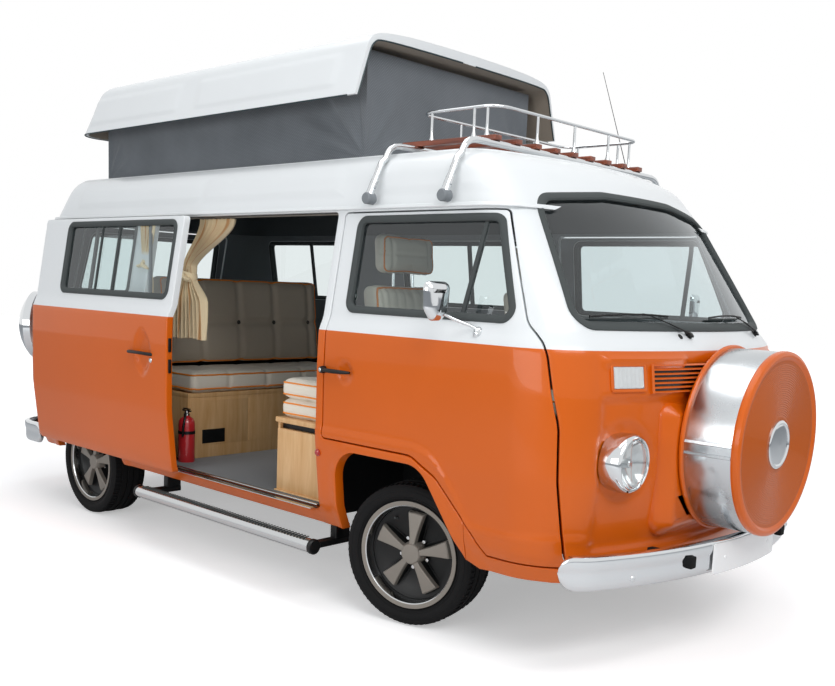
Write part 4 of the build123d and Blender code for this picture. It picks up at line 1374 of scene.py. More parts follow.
@dataclass
class CabDoor:
    """Cab door with its window, quarter light and handle."""

    side: Side
    gap: float = 6.0

    @property
    def name(self) -> str:
        """Which side, as in the names of the model."""
        return self.side.label

    def skin(self) -> None:
        """Pressed door shell, with a rounded recess behind the handle."""
        chart = SideChart(SKIN, self.side)
        shape = inset(dense(rounded(DOOR_EDGE, DOOR_RADII), 18), self.gap)
        hole = dense(rounded(CAB_WINDOW, WINDOW_RADIUS), 18)

        def relief(q: Point2) -> float:
            """Side pressing with the handle's dish."""
            dish = math.hypot(q[0] + 255, q[1] - 990)
            return side_relief(q) - 11 * (1 - ramp(dish, 26, 46))
        draft = Draft()
        Panel(chart, shape, [hole], edge=3.5, relief=relief, grid=15).into(draft, 0, 1)
        draft.build(f"{self.name}_door_shell", f"{self.name}_door", [Look.PAINT, Look.TRIM],
                    [f"{self.name}_cab_door"], "body_paint", sharp=40)

    def window(self) -> None:
        """Rubber, pane and the divider of the quarter light."""
        opening = Opening(SideChart(SKIN, self.side), CAB_WINDOW)
        rubber, pane = Draft(), Draft()
        opening.rubber(rubber)
        opening.pane(pane)
        opening.bar(rubber, (306, 1240), (360, 1596), 17)
        pane.build(f"{self.name}_door_glass", f"{self.name}_door", [Look.GLASS], slot="clear_glass")
        rubber.build(f"{self.name}_door_rubber", f"{self.name}_door", [Look.RUBBER],
                     [f"{self.name}_door_window"], "seal_rubber")

    def handle(self) -> None:
        """Black pull handle across the dish, with its push button."""
        chart = SideChart(SKIN, self.side)
        draft = Draft()
        route = [(-386, 4, 8), (-376, 15, 10), (-340, 23, 11), (-290, 24, 11), (-245, 19, 10), (-216, 9, 6)]
        draft.tube([chart.place((x, 990), -out) for x, out, _ in route], [r * MM for *_, r in route], 0, 14,
                   flat=0.8)
        button = on_chart(chart, -376, 990)
        draft.turned([(-1, 15), (16, 15), (22, 13), (24, 9), (24.5, 0.1)], button, 0, 28, ends=False)
        draft.turned([(22, 8), (26, 8), (27.5, 6), (28, 0.1)], button, 1, 20, ends=False)
        draft.build(f"{self.name}_door_handle", f"{self.name}_door", [Look.BLACK, Look.CHROME],
                    slot="black_plastic")

    def build(self) -> None:
        """Makes the whole door."""
        self.skin()
        self.window()
        self.handle()


# Wheels


@dataclass
class RoadWheel:
    """Alloy wheel with five flared spokes, and a low tyre.

    Lengths are in millimetres; `out` runs from the wheel's middle plane to its outer face.
    """

    name: str
    x: float
    y: float
    steered: bool
    tyre_r: float = 288.0
    steer_deg: float = 13.3
    kingpin_y: float = 590.0
    blocks: int = 72

    @property
    def side(self) -> int:
        """Sign of Y."""
        return 1 if self.y > 0 else -1

    def place(self, out: float, across: float, up: float) -> Vector:
        """Turns wheel coordinates into the shared frame."""
        x, y, z = self.x + across, self.y + self.side * out, self.tyre_r + up
        if self.steered:
            pin = self.side * self.kingpin_y
            t = math.radians(self.steer_deg)
            dx, dy = x - self.x, y - pin
            x, y = self.x + dx * math.cos(t) - dy * math.sin(t), pin + dx * math.sin(t) + dy * math.cos(t)
        return row(x, y, z)

    def rubber(self) -> None:
        """Tyre with bulged walls, shoulder lugs and circumferential grooves."""
        half = [(-79, 205), (-80, 221), (-88, 226), (-94, 236), (-97.4, 250), (-97, 262), (-94, 272),
                (-88, 279.5)]
        tread = []
        for low, high in ((-88, -56), (-50, -20), (-14, 14), (20, 50), (56, 88)):
            rise = 287.6 - 0.0009 * low * low if abs(low) > abs(high) else 287.6 - 0.0009 * high * high
            tread += [(low, 280 if abs(low) < 60 else rise - 1), (low + 1.0, rise + 0.2),
                      (high - 1.0, rise + 0.2), (high, 280 if abs(high) < 60 else rise - 1)]
        profile = half[:-1] + tread + [(-a, r) for a, r in half[:-1][::-1]] + [(70, 206), (-70, 206)]
        draft = Draft()
        draft.turned(profile, self.place, 0, 180, closed=True)
        for r, out in ((232, 92.6), (258, 97.2)):
            draft.turned([(out - 1, r - 1.5), (out + 0.9, r - 0.6), (out + 0.9, r + 0.6), (out - 1, r + 1.5)],
                         self.place, 0, 96, closed=True)
        draft.build(f"{self.name}_tyre_tread", f"{self.name}_wheel", [Look.TYRE], [f"{self.name}_tyre"],
                    "tyre", sharp=35)

    def alloy(self) -> None:
        """Satin lip, polished barrel, black well, five spokes, centre cap, nuts and valve."""
        draft = Draft()
        draft.turned([(74, 207), (86, 216.5), (88.5, 216), (88.5, 213), (87, 199)][::-1], self.place, 1, 128,
                     ends=False)
        draft.turned([(87, 199), (84, 195.5), (60, 192), (20, 190), (-84, 190), (-88, 213), (-86, 216.5),
                      (-74, 207), (74, 207)][::-1], self.place, 0, 128, ends=False)
        draft.turned([(36, 189.5), (36, 176), (22, 150), (14, 90), (14, 40), (6, 40), (6, 150), (14, 189.5)],
                     self.place, 2, 96, closed=True)
        for k in range(5):
            turn = math.radians(90 - 4 + 72 * k)
            self.spoke(draft, turn)
        draft.turned([(20, 0.1), (20, 50), (52, 48), (62, 43), (66, 41.5), (69, 38), (70, 20),
                      (70.5, 0.1)][::-1], self.place, 1, 64)
        for k in range(5):
            turn = math.radians(90 - 4 + 36 + 72 * k)
            c, s = math.cos(turn) * 62, math.sin(turn) * 62

            def nut(out: float, across: float, up: float, c: float = c, s: float = s) -> Vector:
                """Places a wheel nut."""
                return self.place(out, across + c, up + s)
            draft.turned([(16, 9.5), (30, 9.5), (33, 7.5), (33.5, 0.1)][::-1], nut, 0, 6)
        draft.tube([self.place(15, 150 * math.cos(2.2), 150 * math.sin(2.2)),
                    self.place(42, 158 * math.cos(2.2), 158 * math.sin(2.2))], 4.2 * MM, 3, 8)
        draft.build(f"{self.name}_alloy", f"{self.name}_wheel",
                    [Look.POLISHED, Look.SATIN, Look.BLACK, Look.RUBBER], [f"{self.name}_rim"], "alloy",
                    sharp=30)

    def spoke(self, draft: Draft, turn: float) -> None:
        """Adds one spoke, narrow at the hub and flared at the rim, with a black root."""
        def spot(r: float, w: float, out: float) -> Vector:
            """Point by radius, sideways distance and outward distance."""
            return self.place(out, r * math.cos(turn) - w * math.sin(turn),
                              r * math.sin(turn) + w * math.cos(turn))
        rows = [(30, 11, 66), (60, 13.5, 64), (90, 18.5, 62), (120, 25, 60), (148, 31.5, 58),
                (160, 34.5, 56.5), (164, 35, 53), (167, 35, 44)]
        top = []
        for r, w, out in rows:
            low = max(out - 22, 26)
            top.append([spot(r, -w - 2.5, low), spot(r, -w, out - 2.5), spot(r, -w + 2.5, out),
                        spot(r + 1.5, 0, out + 0.6), spot(r, w - 2.5, out), spot(r, w, out - 2.5),
                        spot(r, w + 2.5, low)])
        draft.rings(top, 1, closed=False, caps=False)
        back = []
        for r, w, out in rows:
            low = max(out - 22, 26)
            back.append([spot(r, w + 2.5, low), spot(r, w + 8, 14), spot(r, -w - 8, 14),
                         spot(r, -w - 2.5, low)])
        draft.rings(back, 2, closed=False, caps=False)
        r, w, out = rows[-1]
        low = max(out - 22, 26)
        draft.add([spot(r, -w - 2.5, low), spot(r, -w, out - 2.5), spot(r, -w + 2.5, out),
                   spot(r + 1.5, 0, out + 0.6), spot(r, w - 2.5, out), spot(r, w, out - 2.5),
                   spot(r, w + 2.5, low), spot(r, w + 8, 14), spot(r, -w - 8, 14)], [tuple(range(9))], 1)
        for edge in (-1, 1):
            rim = [[spot(r, edge * (w + 9), 15), spot(r, edge * (w + 12), 17), spot(r, edge * (w + 12), 21),
                    spot(r, edge * (w + 9), 21)] for r, w in ((60, 16), (165, 37))]
            draft.rings(rim, 2)

    def lugs(self) -> None:
        """Cross cuts between the tread's shoulder blocks, set round the tyre by Geometry Nodes."""
        bar = Draft()
        start = self.place(0, 0, 0)
        for way in (-1, 1):
            points = [self.place(way * out, dy, 287.2 + dz - (0 if out < 70 else 5.0)) for dz in (-7, 0.0)
                      for out, dy in ((58, -3), (87, -4), (87, 4), (58, 5))]
            bar.add(points, [(0, 3, 2, 1), (4, 5, 6, 7), (0, 1, 5, 4), (1, 2, 6, 5), (2, 3, 7, 6),
                             (3, 0, 4, 7)])
        axle = (self.place(10, 0, 0) - start).normalized()
        round_about(bar, f"{self.name}_tyre_lugs", f"{self.name}_wheel", Look.TYRE, self.blocks, start, axle,
                    "tyre")

    def build(self) -> None:
        """Makes the wheel."""
        self.rubber()
        self.alloy()
        self.lugs()


def round_about(part: Draft, name: str, body: str, look: Look, count: int, centre: Vector, axis: Vector,
                slot: str, sweep: float = 2 * math.pi) -> bpy.types.Object:
    """Repeats a small part round an axis with Geometry Nodes, as one plain mesh.

    Args:
        part: The part, at its first place.
        name: Name of the piece.
        body: Body that it moves with.
        look: Finish of the part.
        count: How many.
        centre: A point on the axis.
        axis: Direction of the axis.
        slot: Name of a material slot in the record; not used.
        sweep: Angle that the row covers.

    Returns:
        The finished piece.
    """
    tree, given, values = start_tree(f"{name}_ring", {
        "Count": ("NodeSocketInt", count), "Sweep": ("NodeSocketFloat", sweep),
        "Axis": ("NodeSocketVector", tuple(axis)), "Centre": ("NodeSocketVector", tuple(centre))})
    put = copies(tree, given, (0.0, 0.0, 0.0))
    number = add_node(tree, "GeometryNodeInputIndex")
    share = add_node(tree, "ShaderNodeMath", {0: number.outputs[0], 1: given.outputs["Count"]},
                     operation="DIVIDE")
    angle = add_node(tree, "ShaderNodeMath", {0: share.outputs[0], 1: given.outputs["Sweep"]},
                     operation="MULTIPLY")
    turn = add_node(tree, "FunctionNodeAxisAngleToRotation",
                    {"Axis": given.outputs["Axis"], "Angle": angle.outputs[0]})
    spun = add_node(tree, "GeometryNodeRotateInstances",
                    {"Instances": put, "Rotation": turn.outputs[0], "Pivot Point": given.outputs["Centre"],
                     "Local Space": False})
    end_tree(tree, spun.outputs[0], look)
    return grown(part, name, body, look, tree, values, slot)


def in_row(part: Draft, name: str, body: str, look: Look, count: int, step: Vector, slot: str,
           replaces: Sequence[str] = ()) -> bpy.types.Object:
    """Repeats a small part along a line with Geometry Nodes, as one plain mesh."""
    tree, given, values = start_tree(f"{name}_row", {
        "Count": ("NodeSocketInt", count), "Step": ("NodeSocketVector", tuple(step))})
    end_tree(tree, copies(tree, given, given.outputs["Step"]), look)
    return grown(part, name, body, look, tree, values, slot, replaces)


def start_tree(name: str, sizes: dict[str, tuple[str, object]]) -> tuple:
    """Starts a Geometry Nodes tree with named inputs.

    Args:
        name: Name of the tree.
        sizes: Kind and value of each input, by name.

    Returns:
        The tree, its input node, and the values by socket identifier.
    """
    tree = bpy.data.node_groups.new(name, "GeometryNodeTree")
    sockets = tree.interface
    sockets.new_socket("Geometry", in_out="INPUT", socket_type="NodeSocketGeometry")
    values = {}
    for key, (kind, value) in sizes.items():
        values[sockets.new_socket(key, in_out="INPUT", socket_type=kind).identifier] = value
    sockets.new_socket("Geometry", in_out="OUTPUT", socket_type="NodeSocketGeometry")
    return tree, add_node(tree, "NodeGroupInput"), values


def copies(tree: bpy.types.NodeTree, given: bpy.types.Node, step: object) -> bpy.types.NodeSocket:
    """Puts the part on a line of points, a step apart."""
    line = add_node(tree, "GeometryNodeMeshLine", {"Count": given.outputs["Count"], "Offset": step})
    return add_node(tree, "GeometryNodeInstanceOnPoints",
                    {"Points": line.outputs[0], "Instance": given.outputs["Geometry"]}).outputs[0]


def end_tree(tree: bpy.types.NodeTree, shape: bpy.types.NodeSocket, look: Look) -> None:
    """Ends a tree with real geometry and its material."""
    real = add_node(tree, "GeometryNodeRealizeInstances", {0: shape})
    dressed = add_node(tree, "GeometryNodeSetMaterial", {"Geometry": real.outputs[0],
                                                         "Material": look.material})
    out = add_node(tree, "NodeGroupOutput")
    tree.links.new(dressed.outputs[0], out.inputs[0])


def grown(part: Draft, name: str, body: str, look: Look, tree: bpy.types.NodeTree, values: dict, slot: str,
          replaces: Sequence[str] = ()) -> bpy.types.Object:
    """Runs a Geometry Nodes tree over a part and keeps the result as a plain mesh."""
    piece = new_piece(f"{name}_part", part.points, part.faces)
    piece.name, mesh = name, piece.data
    made = bmesh.new()
    made.from_mesh(mesh)
    bmesh.ops.remove_doubles(made, verts=made.verts, dist=MERGE)
    bmesh.ops.recalc_face_normals(made, faces=made.faces)
    made.to_mesh(mesh)
    made.free()
    modifier = piece.modifiers.new("repeat", "NODES")
    modifier.node_group = tree
    for key, value in values.items():
        modifier[key] = value
    graph = bpy.context.evaluated_depsgraph_get()
    whole = bpy.data.meshes.new_from_object(piece.evaluated_get(graph))
    piece.modifiers.remove(modifier)
    piece.data = whole
    whole.name = name
    if not whole.materials:
        whole.materials.append(look.material)
    shade_smooth(whole, 35)
    settle(piece, body, replaces, slot)
    return piece


# Raised roof


@dataclass
class RoofLid:
    """Moulded lifting lid: sloped sides with raised panels, sloped tail, open arched front."""

    base: float = 2105.0
    front: float = -421.0
    tail: float = -2736.0
    half: float = 700.0
    rise: float = 253.0

    def line(self, height: float, shrink: float, over: float = 0.0,
             steps: int = 14) -> list[tuple[float, float]]:
        """U-shaped plan line at a height: right side, round the tail, left side, without relief."""
        slope = min(height, self.rise) / self.rise
        half = self.half - 78 * slope - shrink - over
        tail = self.tail + 76 * slope + shrink + over * 1.35
        corner = max(min(150 - shrink * 0.6 - over * 0.2, half * 0.95), 1)
        made = []
        long = self.front - (tail + corner)
        made += [(self.front - long * k / 90, -half) for k in range(90)]
        made += [(tail + corner - corner * math.sin(math.pi / 2 * k / steps),
                  -half + corner - corner * math.cos(math.pi / 2 * k / steps)) for k in range(steps + 1)]
        wide = half - corner
        made += [(tail, -wide + 2 * wide * k / 20) for k in range(1, 20)]
        made += [(tail + corner - corner * math.cos(math.pi / 2 * k / steps),
                  half - corner + corner * math.sin(math.pi / 2 * k / steps)) for k in range(steps + 1)]
        made += [(tail + corner + long * k / 90, half) for k in range(1, 91)]
        return made

    def relief(self, x: float, height: float) -> float:
        """Raised side panels with a fine ridge round them."""
        high = 0.0
        for low, far in ((-2600, -1740), (-1590, -560)):
            spread = ramp(x, low, low + 22) * (1 - ramp(x, far - 22, far))
            high = max(high, spread * ramp(height, 40, 60) * (1 - ramp(height, 168, 196)))
        return 5.5 * high

    def build(self) -> None:
        """Makes the lid with its edge trim."""
        rows = [(0, 0), (12, 0), (26, 0)] + [(26 + 9 * k, 0) for k in range(1, 20)]
        rows += [(206, 0), (216, 1.2), (226, 4), (236, 9), (245, 16), (252, 26), (258, 40), (264, 62),
                 (270, 96), (276, 150), (281, 230), (284.5, 330), (286.5, 440), (287.5, 560)]
        outer = []
        for height, over in rows:
            ring = []
            for x, y in self.line(height, 0, over):
                lift = self.relief(x, height) if over == 0 and abs(y) > 500 else 0.0
                ring.append(row(x, y + math.copysign(lift, y), self.base + height))
            outer.append(ring)
        inner = []
        for height, over in rows:
            inner.append([row(min(x, self.front), y, self.base + min(height, self.rise) * 0.92 +
                              max(height - self.rise, 0) * 0.3) for x, y in self.line(height, 16, over)])
        draft = Draft()
        draft.rings(outer, closed=False, caps=False)
        draft.rings(inner[::-1], 1, closed=False, caps=False)
        for k in range(len(rows) - 1):
            for end in (0, -1):
                draft.add([outer[k][end], outer[k + 1][end], inner[k + 1][end], inner[k][end]],
                          [(0, 1, 2, 3)])
        draft.rings([outer[0], inner[0]], closed=False, caps=False)
        top_o, top_i = outer[-1], inner[-1]
        n = len(top_o)
        for ring, way in ((top_o, 1), (top_i, -1)):
            faces = [(i, i + 1, n - 2 - i, n - 1 - i)[::way] for i in range(n // 2 - 1)]
            draft.add(ring, faces, 0 if way > 0 else 1)
        draft.add([top_o[0], top_o[-1], top_i[-1], top_i[0]], [(0, 1, 2, 3)])
        draft.build("lid_moulding", "lid_body", [Look.GELCOAT, Look.LINER], ["pop_top"], "white_shell",
                    sharp=44)
        trim = Draft()
        trim.tube([p + Vector((0, 0, -0.001)) for p in outer[0][2:-2]], 3.4 * MM, 0, 6)
        for end in (0, -1):
            path = [r[end] for r in inner]
            trim.tube([p + Vector((0.001, 0, 0)) for p in path], 3.4 * MM, 0, 6)
        trim.build("lid_edge_trim", "lid_body", [Look.EDGE], slot="seal_rubber")


# Rack


@dataclass
class RoofRack:
    """Slatted rack over the cab with a tube gallery, on bars clamped to the gutter."""

    slat_z: float = 1904.0
    half: float = 538.0
    slats_x: tuple[float, float] = (-300.0, 193.0)
    bars_x: tuple[float, float] = (-215.0, 180.0)
    rail_z: float = 2035.0

    def slats(self) -> None:
        """Nine varnished slats with eased edges, and the screws that hold them."""
        part = Draft()
        y = -self.half + 20
        part.box(row(self.slats_x[0], y - 20, self.slat_z), row(self.slats_x[1], y + 20, self.slat_z + 20),
                 0.003)
        pitch = (2 * self.half - 40) / 8
        in_row(part, "teak_slats", "van", Look.SLAT, 9, Vector((0, pitch * MM, 0)), "slat_wood",
               ["rack_slats"])
        screw = Draft()
        for x in self.bars_x:
            def head(out: float, across: float, up: float, x: float = x) -> Vector:
                """Places a screw head."""
                return row(x + across, y + up, self.slat_z + 20 + out)
            screw.turned([(-2, 6.5), (0.8, 6.5), (2.2, 4.0), (2.6, 0.1)][::-1], head, 0, 10)
        in_row(screw, "slat_screws", "van", Look.STEEL, 9, Vector((0, pitch * MM, 0)), "bright")

    def frame(self) -> None:
        """Bent bars, clamps, gallery loop and flared posts."""
        draft = Draft()
        for x in self.bars_x:
            z = self.slat_z - 13
            side = [(-700 - 100 * k / 8, z - 208 * k / 8) for k in range(3, 9)]
            bend = [(-600, z), (-640, z - 0.6), (-668, z - 6), (-690, z - 18), (-706, z - 38), (-716, z - 60)]
            run = side[::-1] + bend[::-1]
            path = run + [(-y, h) for y, h in run[::-1]]
            draft.tube([row(x, y, h) for y, h in path], 13 * MM, 0, 16)
            for way in (-1, 1):
                foot = [(way * 797, 1686), (way * 781, 1720), (way * 769, 1745)]
                draft.tube([row(x, y, h) for y, h in foot], [16 * MM, 16 * MM, 15 * MM], 0, 16)
                grip = [(way * 788, 1712), (way * 776, 1737)]
                draft.tube([row(x + 17, y, h) for y, h in grip], 6 * MM, 0, 10)

                def clamp(out: float, across: float, up: float, x: float = x, way: int = way) -> Vector:
                    """Places the round clamp foot."""
                    return row(x + across, way * (797 + out), 1672 + up)
                draft.turned([(-22, 0.1), (-22, 20), (-18, 23), (18, 23), (23, 19), (24, 0.1)], clamp, 1, 24)
        x0, x1, y0 = -225.0, 180.0, 520.0
        loop = rounded([(x0, -y0), (x1, -y0), (x1, y0), (x0, y0)], 70, 8)
        draft.tube([row(x, y, self.rail_z) for x, y in dense(loop, 40)], 6.4 * MM, 0, 12, looped=True)
        posts = [(-155, -y0), (-155, y0), (67, -y0), (67, y0), (x1, -260), (x1, 260), (x1, 0), (130, -y0 + 4),
                 (130, y0 - 4), (x0, -260), (x0, 260)]
        for x, y in posts:
            draft.tube([row(x, y, h) for h in (self.slat_z + 18, self.slat_z + 22, self.slat_z + 30,
                                               self.slat_z + 44, self.rail_z)],
                       [13 * MM, 12 * MM, 8.5 * MM, 5.6 * MM, 5.4 * MM], 0, 12)
        draft.build("rack_tubes", "van", [Look.CHROME, Look.GREY], ["roof_rack"], "bright", sharp=35)

    def whip(self) -> None:
        """Aerial: a tapered black rod on a black base."""
        draft = Draft()
        foot, tip = row(80, 745, 1675), row(-160, 700, 2415)
        path = [foot.lerp(tip, k / 12) for k in range(13)]
        draft.tube(path, [2.6 * MM - 1.3 * MM * k / 12 for k in range(13)], 0, 8)
        draft.tube([row(85, 736, 1665), row(81, 756, 1676), row(76, 785, 1690)], [12 * MM, 11 * MM, 9 * MM],
                   0, 14)
        draft.build("whip_aerial", "van", [Look.BLACK], ["aerial"], "black_plastic")

    def build(self) -> None:
        """Makes the rack and the aerial."""
        self.slats()
        self.frame()
        self.whip()


# Nose, ends and outside fittings

BUMPER_SKIN = BodySkin((Section(200, 1088, -3400, 892, 200, 200), Section(600, 1088, -3400, 892, 200, 200)))
REAR_BUMPER_SKIN = BodySkin((Section(200, 1088, -3400, 800, 200, 200),
                             Section(600, 1088, -3400, 800, 200, 200)))
PLATE_SKIN = BodySkin((Section(200, 1092, -3400, 896, 200, 200), Section(600, 1092, -3400, 896, 200, 200)))


@dataclass
class NoseFittings:
    """Spare-wheel cover, pad, lamps, grille, bumpers, plate and wipers."""

    spare_z: float = 821.0
    spare_r: float = 340.0
    lamp_y: float = 560.0
    lamp_z: float = 764.0

    def spare(self) -> None:
        """Covered spare wheel: painted flange, brushed band with a lap, ribbed face and plain boss."""
        place = about(0, self.spare_z)
        draft = Draft()
        r = self.spare_r
        draft.turned([(952, 0.1), (951, 330), (951, r + 8), (954, r + 11), (960, r + 11.5), (965, r + 8),
                      (966, r - 2), (966, r - 8)], place, 0, 160, ends=False)
        draft.turned([(960, r - 6), (963, r - 1), (966, r), (1143, r), (1146, r - 1), (1146, r - 6)], place,
                     1, 160, ends=False)
        ribs = []
        steps = 25
        for k in range(steps * 4 + 1):
            spot = 300 - (300 - 104) * k / (steps * 4)
            ribs.append((1164.5 - 1.4 * (0.5 - 0.5 * math.cos(2 * math.pi * k / 4)), spot))
        draft.turned([(1142, r - 8), (1143, r + 1), (1147, r + 3), (1158, r + 3.5), (1167, r + 1),
                      (1172, r - 6), (1173, r - 14), (1171, r - 21), (1166, r - 25), (1164.5, r - 30)], place,
                     0, 160, ends=False)
        draft.turned([(1164.5, r - 30), (1164.5, r - 38)] + ribs + [(1164.5, 98), (1164.5, 0.1)], place, 3,
                     160, ends=False)
        draft.turned([(1164, 91), (1169, 90), (1172, 86), (1172.5, 80), (1170, 77), (1168, 74), (1169, 66),
                      (1171, 40), (1172.5, 0.1)], place, 2, 96, ends=False)
        for turn in (math.pi - 0.05, math.pi + 0.07):
            rows = []
            for x in (966, 1000, 1050, 1100, 1143):
                rows.append([place(x, (r + d) * math.cos(turn + s), (r + d) * math.sin(turn + s))
                             for s, d in ((-0.020, -1), (-0.016, 2.6), (0.012, 3.2),
                                          (0.018, 0.6), (0.020, -1))])
            draft.rings(rows, 1)
        draft.build("spare_cover", "van", [Look.ORANGE, Look.BRUSHED, Look.CHROME, Look.COVER_PAINT],
                    ["spare_wheel"], "body_paint", sharp=38)

    def pad(self) -> None:
        """Pressed pad between the lamps, with bevelled sides."""
        base = rounded([(-390, 480), (390, 480), (390, 965), (-390, 965)], [60, 60, 46, 46], 8)
        base = dense(base, 30)
        rings = []
        for cut, x in ((-6, 862), (-4, 893), (0, 902), (8, 912), (30, 936), (38, 943), (48, 946.5),
                       (62, 947.5), (150, 948)):
            ring = []
            for y, z in inset(base, cut):
                ring.append(row(min(x, 949), y, z))
            rings.append(ring)
        draft = Draft()
        draft.rings(rings)
        draft.build("nose_pad", "van", [Look.ORANGE], ["radiator_cover"], "body_paint", sharp=50)

    def headlamp(self, draft: Draft, glass: Draft, side: int) -> None:
        """Adds a chrome ring, reflector, bulb shield and domed lens."""
        place = about(side * self.lamp_y, self.lamp_z)
        draft.turned([(820, 103), (862, 105.5), (884, 105.5), (896, 103), (903, 98), (905, 93), (903, 89),
                      (898, 87.5), (890, 88), (830, 96)], place, 0, 96, closed=True)
        draft.turned([(893, 88), (884, 80), (868, 62), (856, 40), (850, 18), (849, 0.1)], place, 1, 72,
                     ends=False)
        draft.turned([(852, 16), (880, 16), (886, 12), (888, 0.1)], place, 0, 32, ends=False)
        front = [(896, 89), (899, 86.5), (903.5, 76), (907, 60), (909.5, 40), (911, 20), (911.6, 0.1)]
        glass.turned(front, place, 0, 96, ends=False)

    def lamps(self) -> None:
        """Head, indicator and tail lamps."""
        draft, glass, amber = Draft(), Draft(), Draft()
        for side in (-1, 1):
            self.headlamp(draft, glass, side)
            shape = dense(rounded([(side * 490, 1010), (side * 650, 1010), (side * 650, 1110),
                                   (side * 490, 1110)], 14), 12)
            lens = inset(shape, 12)
            FlatPanel(NOSE, shape, [lens], wall=14, edge=3.5, offset=-9, grid=30).into(draft, 2, 2)
            FlatPanel(NOSE, inset(lens, 0.6), wall=14, edge=3, offset=-8, grid=5,
                      relief=lambda q: 1.1 * math.sin(q[0] * 0.34)).into(amber, 0, 0)
            for low, high, mark in ((592, 664, 1), (666, 738, 1), (740, 810, 2)):
                shape = dense(rounded([(side * 617, low), (side * 713, low), (side * 713, high),
                                       (side * 617, high)], 14), 12)
                FlatPanel(TAIL, [TAIL.flatten(p) for p in shape], wall=26, edge=9, offset=-21, grid=20,
                          relief=lambda q: 0.7 * math.sin(q[1] * 0.8)).into(amber, mark, mark)
            shape = dense(rounded([(side * 610, 586), (side * 720, 586), (side * 720, 816),
                                   (side * 610, 816)], 18), 15)
            FlatPanel(TAIL, [TAIL.flatten(p) for p in shape], wall=8, edge=3, offset=-7,
                      grid=40).into(draft, 2, 2)
        glass.build("lamp_lenses", "van", [Look.LENS], slot="lamp_lens")
        amber.build("signal_lenses", "van", [Look.CLEAR_LENS, Look.RED_LENS, Look.AMBER_LENS],
                    slot="lamp_lens")
        draft.build("lamp_bodies", "van", [Look.CHROME, Look.POLISHED, Look.ORANGE], ["lamps"], "lamp_lens",
                    sharp=38)

    def grille(self) -> None:
        """Six slots between pressed louvres, with painted shade behind them."""
        chart = NOSE
        draft = Draft()
        shape = dense([(-464, 1006), (464, 1006), (464, 1106), (-464, 1106)], 20)
        # The black sheet behind the louvres is painted shade in the slots.
        FlatPanel(chart, shape, wall=10, edge=0.5, offset=-3.5, grid=40).into(draft, 1, 1)
        for k in range(7):
            z = 1009 + k * 15.6
            rings = []
            for b in np.linspace(-460, 460, 27):
                rings.append([chart.place((b, z + dz), d)
                              for dz, d in ((-3.4, -3), (-3.6, -10.0), (-2.2, -12.0), (1.8, -8.6),
                                            (3.4, -5.0), (3.4, -3))])
            draft.rings(rings, 0)
        for low, high in ((-470, -456), (456, 470)):
            rows = []
            for z in (1002, 1005, 1105, 1109):
                proud = -12.0 if 1004 < z < 1106 else -2
                rows.append([chart.place((b, z), d) for b, d in ((low, 0), (low + 1, proud),
                                                                 (high - 1, proud), (high, 0))])
            draft.rings(rows, 0)
        draft.build("louvred_grille", "van", [Look.ORANGE, Look.BLACK], ["air_grille"], "body_paint",
                    sharp=30)

    def blade(self, draft: Draft, skin: BodySkin, front: bool, low: float, high: float, end_x: float) -> None:
        """Adds a chrome bumper blade that wraps both corners and ends in a rounded nose."""
        tall, mid = (high - low) / 2, (high + low) / 2
        outer = [(26, 1.0), (10, 1.0), (3.5, 0.955), (0.8, 0.86), (0.2, 0.66), (1.0, 0.42), (3.4, 0.24),
                 (5.2, 0.12), (5.8, 0.0), (5.2, -0.3), (5.8, -0.62), (9, -0.84), (15, -0.96), (28, -1.0)]
        inner = [(d + 4.0 if 0 < k < 13 else d, h * 0.93) for k, (d, h) in enumerate(outer)][::-1]
        start = skin.front_length(300) if front else skin.rear_length(300)
        stop = skin.side_from_x(end_x, 300)
        reach = abs(start - stop)
        shares = [-1 + 0.004 * k for k in range(14)] + [-0.944 + 0.016 * k for k in range(119)] + \
                 [0.948 + 0.004 * k for k in range(14)]
        rings = []
        for share in shares:
            side = Side.LEFT if share >= 0 else Side.RIGHT
            a = start - abs(share) * reach if front else start + abs(share) * reach
            left = min(1.0, (1 - abs(share)) * reach / 62)
            scale = math.sqrt(max(1 - (1 - left) ** 2, 0.0)) * 0.97 + 0.03
            rings.append([skin.side_at(a, mid + h * tall * scale, side, d) for d, h in outer + inner])
        draft.rings(rings)

    def bumpers(self) -> None:
        """Front and rear chrome bumpers with their bolts and brackets."""
        draft = Draft()
        self.blade(draft, BUMPER_SKIN, True, 354, 478, 824)
        self.blade(draft, REAR_BUMPER_SKIN, False, 305, 428, -3004)
        for y in (-640, 640):
            for skin, front, z in ((BUMPER_SKIN, True, 388), (REAR_BUMPER_SKIN, False, 340)):
                chart = EndChart(skin, front)
                q = chart.flatten((y, z))
                draft.turned([(-8, 11), (-5, 11), (-2.2, 8), (-1, 4), (-0.6, 0.1)], on_chart(chart, *q), 0,
                             16, ends=False)
        for side in (-1, 1):
            draft.box(row(806, min(side * 362, side * 398), 396), row(1062, max(side * 362, side * 398), 439),
                      0.005, 1)
            draft.box(row(-3376, min(side * 362, side * 398), 351),
                      row(-3152, max(side * 362, side * 398), 399), 0.005, 1)
        draft.build("chrome_bumpers", "van", [Look.CHROME, Look.UNDERSEAL], ["bumpers"], "bright", sharp=40)

    def plate(self) -> None:
        """Blank white plate bent round the bumper, with two caps over its screws."""
        chart = EndChart(PLATE_SKIN, True)
        draft = Draft()
        shape = dense(rounded([(-259, 352), (259, 352), (259, 468), (-259, 468)], 9), 14)
        FlatPanel(chart, shape, wall=3.4, edge=1.2, grid=20).into(draft, 0, 0)
        for y in (-180, 180):
            draft.turned([(-0.5, 8.5), (1.2, 8), (2.2, 5), (2.5, 0.1)], on_chart(chart, y, 410), 0, 20,
                         ends=False)
        draft.build("blank_plate", "van", [Look.PLATE], ["number_plate"], "plate_white")

    def wipers(self) -> None:
        """Two wipers: pivots with caps, bent arms, and blades with their rubber, and a washer jet."""
        draft = Draft()

